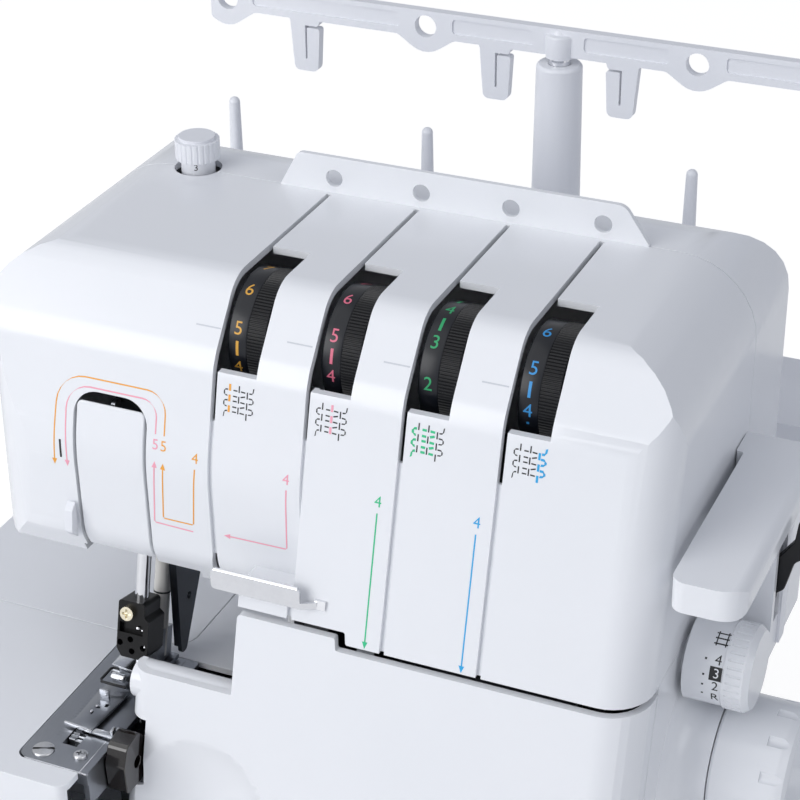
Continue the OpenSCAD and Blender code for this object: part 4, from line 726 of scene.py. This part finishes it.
stitchFacts = {
    "axisY": -43.0, "axisZ": 143.0, "radius": 14.4,
    "digits": [("4", 140.7, 36), ("2", 140.7, -0.9), ("R", 140.6, -20.3)],
    "digitHigh": 3.4, "digitLift": 2,
    "dots": (136.5, [35.7, 14.4, -0.2, -15.5], 0.7),
    # the number in use stands white in a black box
    "box": (140.7, 17.8, 4.8, 4.6), "boxDigitHigh": 3.3,
    # small grid: three strokes along the axle and two round the drum, as x, angle, length and width
    "grid": [(140.5, 58, 0.5, 5.4), (140.5, 66, 0.5, 5.4), (140.5, 74, 0.5, 5.4),
             (138.6, 66, 5.6, 0.4), (141.8, 66, 5.6, 0.4)],
}


def printStitchDial(facts):
    drum = pieces["stitch_dial"]
    marks = [drumText(facts, word, x, angle, facts["digitHigh"], "blackInk")
             for word, x, angle in facts["digits"]]
    x, angles, across = facts["dots"]
    marks += [drumBar(facts, x, angle, across, across, "blackInk") for angle in angles]
    box = drumBar(facts, *facts["box"], "blackInk")
    marks.append(box)
    marks += [drumBar(facts, *stroke, "blackInk") for stroke in facts["grid"]]
    marks = [layInk(mark, drum, "Z", False) for mark in marks]
    x, angle = facts["box"][:2]
    three = layInk(drumText(facts, "3", x, angle, facts["boxDigitHigh"], "whiteInk"), box, "Z", False)
    joinInk(marks + [three], "stitchDialMarks", bodyOf["stitch_dial"])


printStitchDial(stitchFacts)
print("stitch dial printed")


# A flat plate: one point pulled round its outline, filled and given its thickness
def outlinePlate(name, outline, low, high, material, body, ease):
    deselectAll()
    bpy.ops.mesh.primitive_plane_add(size=mm, location=(outline[0][0] * mm, outline[0][1] * mm, low * mm))
    plate = bpy.context.object
    plate.name = name
    bpy.ops.object.mode_set(mode="EDIT")
    bpy.ops.mesh.select_all(action="SELECT")
    bpy.ops.mesh.merge(type="CENTER")
    for (x0, y0), (x1, y1) in zip(outline, outline[1:]):
        bpy.ops.mesh.extrude_region_move(
            TRANSFORM_OT_translate={"value": ((x1 - x0) * mm, (y1 - y0) * mm, 0)})
    bpy.ops.mesh.select_all(action="SELECT")
    bpy.ops.mesh.edge_face_add()
    bpy.ops.mesh.extrude_region_move(TRANSFORM_OT_translate={"value": (0, 0, (high - low) * mm)})
    bpy.ops.mesh.select_all(action="SELECT")
    bpy.ops.mesh.normals_make_consistent(inside=False)
    bpy.ops.object.mode_set(mode="OBJECT")
    bpy.ops.object.transform_apply()
    if ease > 0:
        easeEdges(plate, ease, 2, edgeFacts["sheet"])
        applyAll(plate)
    bpy.ops.object.shade_smooth_by_angle(angle=math.radians(edgeFacts["crisp"]))
    plate.data.materials.append(materials[material])
    if body:
        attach(plate, body)
    return plate


# Outline of a box between two corners
def boxOutline(x0, y0, x1, y1):
    return [(x0, y0), (x1, y0), (x1, y1), (x0, y1)]


# A round post along Z or X; place is where its axis stands in the other two
def roundPost(radius, low, high, place, edge, axis="Z", segments=3):
    deselectAll()
    turn = {"Z": (0, 0, 0), "X": (0, math.pi / 2, 0)}[axis]
    middle = (low + high) / 2
    centre = (place[0], place[1], middle) if axis == "Z" else (middle, place[0], place[1])
    bpy.ops.mesh.primitive_cylinder_add(vertices=edgeFacts["sides"], radius=radius * mm,
                                        depth=(high - low) * mm, location=[c * mm for c in centre],
                                        rotation=turn)
    post = bpy.context.object
    bpy.ops.object.transform_apply()
    easeEdges(post, edge, segments, edgeFacts["turned"])
    applyAll(post)
    return post


# Cuts a piece with boxes, each given by its centre, size and turn about Z
def cutBoxes(piece, boxes):
    for centre, size, turn in boxes:
        deselectAll()
        bpy.ops.mesh.primitive_cube_add(size=1, location=[c * mm for c in centre],
                                        rotation=(0, 0, math.radians(turn)))
        cutter = bpy.context.object
        cutter.scale = [c * mm for c in size]
        bpy.ops.object.transform_apply()
        cut = piece.modifiers.new("cut", "BOOLEAN")
        cut.operation, cut.solver, cut.object = "DIFFERENCE", "EXACT", cutter
        applyAll(piece)
        bpy.data.objects.remove(cutter)


def finishPiece(piece, name, material, body, node=None, angle=edgeFacts["crisp"]):
    makeActive(piece)
    bpy.ops.object.shade_smooth_by_angle(angle=math.radians(angle))
    piece.name = name
    piece.data.materials.clear()
    piece.data.materials.append(materials[material])
    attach(piece, body)
    if node:
        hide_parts(node)


# Top face of the needle plate
plateTop = 99.6
# slots as sizes in x, y and z before the turn; the crossed screw has two at right angles
plateScrews = {
    "sunk": 1.0,
    "slotted": {"place": (-76.2, -125.3), "radius": 4.0, "high": 100.5, "turn": 23,
                "edge": 0.7, "segments": 3, "slots": [(10, 1.0, 1.2)]},
    "crossed": {"place": (-62.6, -123.6), "radius": 2.5, "high": 101.3, "turn": 10,
                "edge": 1.1, "segments": 5, "slots": [(2.6, 0.7, 1.8), (0.7, 2.6, 1.8)]},
}


def makePlateScrew(name, facts):
    x, y = facts["place"]
    head = roundPost(facts["radius"], plateTop - plateScrews["sunk"], facts["high"], facts["place"],
                     facts["edge"], segments=facts["segments"])
    cutBoxes(head, [((x, y, facts["high"]), slot, facts["turn"]) for slot in facts["slots"]])
    finishPiece(head, name, "zincSteel", bodyOf["plate_screws"], "plate_screws")


# One row of teeth, its step and its number, on a spine below
feedFacts = {
    "row": [(-69.3, -116.4), (-66.2, -116.4), (-66.0, -115.0), (-69.1, -115.0)], "rows": 8, "step": 2.25,
    "rowLow": 94.0, "rowHigh": 99.3,
    "spine": (-69.0, -116.4, -66.4, -99.2), "spineLow": 93.0, "spineHigh": 97.6, "edge": 0.2,
}


# Rows of feed teeth in the one opening that shows ahead of the foot, all in the brighter steel as a painted
# highlight
def makeFeedTeeth(facts):
    rows = []
    for i in range(facts["rows"]):
        outline = [(x, y + facts["step"] * i) for x, y in facts["row"]]
        rows.append(outlinePlate("feedRow", outline, facts["rowLow"], facts["rowHigh"], "paintedHighlightSteel", None,
                                 facts["edge"]))
    rows.append(outlinePlate("feedSpine", boxOutline(*facts["spine"]), facts["spineLow"], facts["spineHigh"],
                             "groundSteel", None, facts["edge"]))
    finishPiece(joinPieces(rows), "feedTeeth", "paintedHighlightSteel", bodyOf["feed_dog"], "feed_dog")


skinFacts = {
    "outline": [(-83.5, -126.6), (-83.2, -128.3), (-82.4, -129.7), (-81.1, -130.6), (-79.4, -130.9),
                (-55.7, -130.9), (-55.7, -60), (-83.5, -60)],
    "low": 0.01, "high": 0.12,
    # x, y, width and length of each slot
    "toothSlot": (-69.3, -107.5, 5.8, 24), "needleSlot": (-64, -72.6, 8, 5), "slotHigh": 2,
    "plateCutDrop": 4, "plateCutHigh": 9,
    # outline, low and high above the plate, and eased edge
    # edge and crease: thin chrome strips laid on the plate as painted highlights
    "edge": ((-80.4, -131.3, -56, -130.8), -0.5, 0.1, 0.1),
    "crease": ((-58.7, -130.8, -58.4, -104), 0, 0.18, 0.05),
}


# The ground face of the plate, with its slots, and two chrome strips as painted highlights along its front
# edge and its crease
def makePlateSkin(facts):
    body = bodyOf["needle_plate"]
    skin = outlinePlate("plateSkin", facts["outline"], plateTop + facts["low"], plateTop + facts["high"],
                        "groundSteel", None, 0)
    cutBoxes(skin, [((x, y, plateTop), (wide, long, facts["slotHigh"]), 0)
                    for x, y, wide, long in (facts["toothSlot"], facts["needleSlot"])])
    finishPiece(skin, "plateSkin", "groundSteel", body)
    x, y, wide, long = facts["toothSlot"]
    cutBoxes(pieces["needle_plate"],
             [((x, y, plateTop - facts["plateCutDrop"]), (wide, long, facts["plateCutHigh"]), 0)])
    # chrome strips along the chamfered front edge and the crease along the bend: painted highlights,
    # brighter than the ground face
    for name, key in (("plateEdgeHighlight", "edge"), ("plateCreaseHighlight", "crease")):
        box, low, high, ease = facts[key]
        outlinePlate(name, boxOutline(*box), plateTop + low, plateTop + high, "chrome", body, ease)


# The foot: a thin sheet with a toe edge in chrome as a painted highlight, a guide wing, a thread tab and the
# block behind them
footFacts = {
    "backFrom": -78,  # ahead of this the CAD foot gives way to these sheets
    "sole": [(-75.6, -110.9), (-65.0, -111.5), (-64.7, -106.6), (-63.7, -92.7), (-63.8, -84.0),
             (-73.2, -84.0), (-74.4, -91), (-73.7, -108.1)],
    "soleLow": 100.9, "soleHigh": 101.7, "soleEase": 0.1, "cutMiddle": 101.5, "cutHigh": 3,
    # openings in the sole: x, y, width, length and turn
    "soleCuts": [(-70.0, -102.7, 0.8, 1.8, 12), (-69.6, -99.2, 1.6, 1.0, 12), (-67.2, -97.2, 1.4, 1.8, 12),
                 (-64, -79, 9, 14, 0)],
    # name: outline, low, high, material and eased edge
    "sheets": {
        # the toe in chrome, and the wing, its end, the tab and the ankle in the brighter steel, are painted
        # highlights on the one steel foot
        "footToe": ([(-76.3, -111.3), (-64.9, -112.1), (-64.8, -111.3), (-76.2, -110.5)],
                    100.6, 102.0, "chrome", 0.15),
        "footWing": ([(-64.9, -111.9), (-57.3, -112.1), (-56.2, -112.0), (-56.6, -110.2), (-58.2, -109.6),
                      (-64.8, -109.4)], 100.5, 101.4, "paintedHighlightSteel", 0.15),
        "footWingEnd": ([(-57.4, -112.0), (-56.2, -112.0), (-56.2, -109.4), (-57.4, -109.4)],
                        100.5, 104.2, "paintedHighlightSteel", 0.3),
        "footTab": ([(-71.1, -95.2), (-67.4, -95.0), (-67.4, -94.3), (-71.1, -94.5)],
                    101.7, 106.4, "paintedHighlightSteel", 0.15),
        "footAnkle": ([(-71.9, -84.2), (-63.2, -85.2), (-63.2, -77.5), (-71.9, -77.5)],
                      109.2, 110.0, "paintedHighlightSteel", 0.15),
        "footBlock": ([(-70.4, -82.2), (-64.6, -82.2), (-64.6, -77.5), (-70.4, -77.5)],
                      101.7, 109.2, "groundSteel", 0.3),
    },
    "wire": [(-64.6, -88.6), (-74.0, -88.6), (-74.9, -87.2), (-74.9, -80.6), (-74.2, -79.6), (-68.5, -79.6)],
    "wireThick": 0.9, "wireLow": 104.0, "squareWithin": 0.2, "runEase": 0.3, "bendEase": 0.2,
    # studs: chrome dots by the sole's openings, placed as painted glints
    "studs": [(-70.6, -101.9), (-70.3, -98.6)],
    "stud": {"radius": 0.55, "low": 101.6, "high": 102.0, "edge": 0.15},
    "pin": {"radius": 1.5, "low": -71.4, "high": -66.2, "place": (-85.4, 105.6), "edge": 0.3, "axis": "X"},
}


# The foot's black spring wire: one bar for each run along an axis and one for each bend
def makeWire(facts, body):
    half, low = facts["wireThick"] / 2, facts["wireLow"]
    high = low + facts["wireThick"]
    runs, bends = [], []
    for (x0, y0), (x1, y1) in zip(facts["wire"], facts["wire"][1:]):
        if min(abs(x1 - x0), abs(y1 - y0)) < facts["squareWithin"]:
            runs.append(boxOutline(min(x0, x1) - half, min(y0, y1) - half,
                                   max(x0, x1) + half, max(y0, y1) + half))
        else:
            bends.append([(x0 - half, y0), (x0 + half, y0), (x1 + half, y1), (x1 - half, y1)])
    sides = [outlinePlate("footWire", run, low, high, "blackenedSteel", None, facts["runEase"])
             for run in runs]
    sides += [outlinePlate("footWireBend", bend, low, high, "blackenedSteel", None, facts["bendEase"])
              for bend in bends]
    finishPiece(joinPieces(sides), "footSpringWire", "blackInk", body)


def makeFoot(facts):
    body = bodyOf["presser_foot"]
    makeActive(pieces["presser_foot"])
    bpy.ops.object.mode_set(mode="EDIT")
    bpy.ops.mesh.select_all(action="SELECT")
    bpy.ops.mesh.bisect(plane_co=(0, facts["backFrom"] * mm, 0), plane_no=(0, -1, 0), use_fill=True,
                        clear_outer=True)
    bpy.ops.object.mode_set(mode="OBJECT")
    sole = outlinePlate("footSole", facts["sole"], facts["soleLow"], facts["soleHigh"], "groundSteel",
                        body, facts["soleEase"])
    cutBoxes(sole, [((x, y, facts["cutMiddle"]), (wide, long, facts["cutHigh"]), turn)
                    for x, y, wide, long, turn in facts["soleCuts"]])
    for name, (outline, low, high, material, ease) in facts["sheets"].items():
        outlinePlate(name, outline, low, high, material, body, ease)
    makeWire(facts, body)
    for place in facts["studs"]:
        finishPiece(roundPost(place=place, **facts["stud"]), "footStudGlint", "chrome", body)
    finishPiece(roundPost(**facts["pin"]), "footPin", "chrome", body)


# The needle and presser bars lean with the head's face, about a line through y and z
clampFacts = {
    "lean": math.radians(13.5), "y": -73.0, "z": 135.5,
    # setScrews: chrome balls for painted glints at the needles' set screws
    "setScrews": [(-62.4, 123.9, 0.95), (-60.6, 123.3, 0.6), (-59.3, 117.4, 0.85)], "setScrewAhead": -77.4,
    "joint": {"place": (-64, -58, 131.5), "radius": 3.06, "high": 0.7},
}


# A place of the upright clamp, as it stands once it leans
def leaned(x, y, z):
    c, s = math.cos(clampFacts["lean"]), math.sin(clampFacts["lean"])
    dy, dz = y - clampFacts["y"], z - clampFacts["z"]
    return [x * mm, (clampFacts["y"] + dy * c + dz * s) * mm, (clampFacts["z"] - dy * s + dz * c) * mm]


# Chrome balls placed as painted glints in the clamp's slot and hole, standing for the ends of the needles'
# set screws, and the dark joint between the presser bar's two sleeves
def makeClampDetails(facts):
    for x, z, radius in facts["setScrews"]:
        deselectAll()
        bpy.ops.mesh.primitive_uv_sphere_add(segments=24, ring_count=12, radius=radius * mm,
                                             location=leaned(x, facts["setScrewAhead"], z))
        screwEnd = bpy.context.object
        bpy.ops.object.transform_apply()
        finishPiece(screwEnd, "needleSetScrewGlint", "chrome", bodyOf["needle_clamp"], angle=60)
    deselectAll()
    joint = facts["joint"]
    bpy.ops.mesh.primitive_cylinder_add(vertices=48, radius=joint["radius"] * mm, depth=joint["high"] * mm,
                                        location=leaned(*joint["place"]), rotation=(-facts["lean"], 0, 0))
    ring = bpy.context.object
    bpy.ops.object.transform_apply()
    finishPiece(ring, "presserBarJoint", "blackInk", bodyOf["presser_bar"])


makePlateScrew("plateScrewSlotted", plateScrews["slotted"])
makePlateScrew("plateScrewCrossed", plateScrews["crossed"])
makeFeedTeeth(feedFacts)
makePlateSkin(skinFacts)
makeFoot(footFacts)
makeClampDetails(clampFacts)
print("needle area made")


knobFacts = {"drop": 4.0, "above": 262.0, "digitPlace": (-82.2, 12, 260.4), "digitHigh": 2.4}


# The pressure knob, turned down to one number of its scale
def lowerKnob(facts):
    knob = pieces["pressure_knob"]
    makeActive(knob)
    selectPoints(knob, lambda vertex: vertex.co.z > facts["above"] * mm)
    bpy.ops.transform.translate(value=(0, 0, -facts["drop"] * mm))
    bpy.ops.object.mode_set(mode="OBJECT")
    number = layInk(inkText("3", facts["digitPlace"], facts["digitHigh"], "blackInk"), knob, "Z", False)
    joinInk([number], "knobNumber", bodyOf["pressure_knob"])


lowerKnob(knobFacts)
print("pressure knob set")


hubFacts = {
    "place": (20.8, 114.5), "low": 283.6, "high": 292.6, "radius": 5.4, "edge": 0.9,
    "cut": (14, 14, 6),  # taken out of the arm below the hub
}


# The thread tree's hub, a round collar on the rod where the arm's underside is cut away
def makeHub(facts):
    x, y = facts["place"]
    cutBoxes(pieces["thread_tree"], [((x, y, facts["low"] - facts["cut"][2] / 2), facts["cut"], 0)])
    hub = roundPost(facts["radius"], facts["low"], facts["high"], facts["place"], facts["edge"])
    finishPiece(hub, "treeHub", "satinWhite", bodyOf["thread_tree"])


makeHub(hubFacts)
print("hub made")


studio = {
    "skyLevel": 0.36, "skyColour": "E3EAFB",   # soft light from all round, a little cool
    "mirrored": 0.5,                           # share of the white that a mirror sees
    "floorSize": 6.0, "floorColour": "F4F4F4", "floorRough": 0.9,
    "floorGlow": 1.25, "glowShare": 0.7,
    # name: place, aim, width, height and power
    "lamps": {
        "keyTop": ((-0.5, -0.5, 1.5), (0, 0, 0.15), 1.6, 1.2, 5.0),
        "fillLeft": ((-1.1, -1.6, 0.9), (0, 0, 0.12), 1.4, 1.2, 20.5),
        "fillRight": ((1.4, -0.6, 0.9), (0.05, 0, 0.15), 0.9, 1.2, 4.0),
    },
}


def softbox(name, place, aim, width, height, power):
    bpy.ops.object.light_add(type="AREA", location=place)
    lamp = bpy.context.object
    lamp.name = name
    lamp.rotation_euler = (Vector(aim) - Vector(place)).to_track_quat("-Z", "Y").to_euler()
    lamp.data.shape = "RECTANGLE"
    lamp.data.size, lamp.data.size_y = width, height
    lamp.data.energy = power
    lamp.data.color = (1, 1, 1)


# One where the camera or clear plastic sees it, half in a mirror, nought where it lights the object
def seenDirectly(tree):
    path = addNode(tree, "ShaderNodeLightPath")
    either = addNode(tree, "ShaderNodeMath", {"operation": "MAXIMUM"},
                     {0: path.outputs["Is Camera Ray"], 1: path.outputs["Is Transmission Ray"]})
    mirrored = addNode(tree, "ShaderNodeMath", {"operation": "MULTIPLY", 1: studio["mirrored"]},
                       {0: path.outputs["Is Glossy Ray"]})
    return addNode(tree, "ShaderNodeMath", {"operation": "MAXIMUM"},
                   {0: either.outputs[0], 1: mirrored.outputs[0]}).outputs[0]


def makeSky(facts):
    world = bpy.context.scene.world or bpy.data.worlds.new("studio")
    bpy.context.scene.world = world
    world.use_nodes = True
    tree = world.node_tree
    tree.nodes.clear()
    dim = addNode(tree, "ShaderNodeBackground",
                  {"Color": hexColour(facts["skyColour"]), "Strength": facts["skyLevel"]})
    bright = addNode(tree, "ShaderNodeBackground", {"Color": (1, 1, 1, 1), "Strength": 1.0})
    mix = addNode(tree, "ShaderNodeMixShader", {},
                  {0: seenDirectly(tree), 1: dim.outputs[0], 2: bright.outputs[0]})
    addNode(tree, "ShaderNodeOutputWorld", {}, {"Surface": mix.outputs[0]})


def makeFloor(facts):
    deselectAll()
    bpy.ops.mesh.primitive_plane_add(size=facts["floorSize"], location=(0, 0, 0))
    floor = bpy.context.object
    floor.name = "studioFloor"
    # seamless paper lit by its own lamp, so it reads white and still takes the shadow
    material, tree, shader = newMaterial("paleSeamlessPaper")
    shader.inputs["Base Color"].default_value = hexColour(facts["floorColour"])
    shader.inputs["Roughness"].default_value = facts["floorRough"]
    glow = addNode(tree, "ShaderNodeEmission", {"Color": (1, 1, 1, 1), "Strength": facts["floorGlow"]})
    share = addNode(tree, "ShaderNodeMath", {"operation": "MULTIPLY", 1: facts["glowShare"]},
                    {0: seenDirectly(tree)})
    blend = addNode(tree, "ShaderNodeMixShader", {},
                    {0: share.outputs[0], 1: shader.outputs[0], 2: glow.outputs[0]})
    tree.links.new(blend.outputs[0], tree.nodes["Material Output"].inputs["Surface"])
    floor.data.materials.append(material)


bpy.context.scene.view_settings.view_transform = "Standard"
makeSky(studio)
makeFloor(studio)
for name, facts in studio["lamps"].items():
    softbox(name, *facts)
print("studio made")
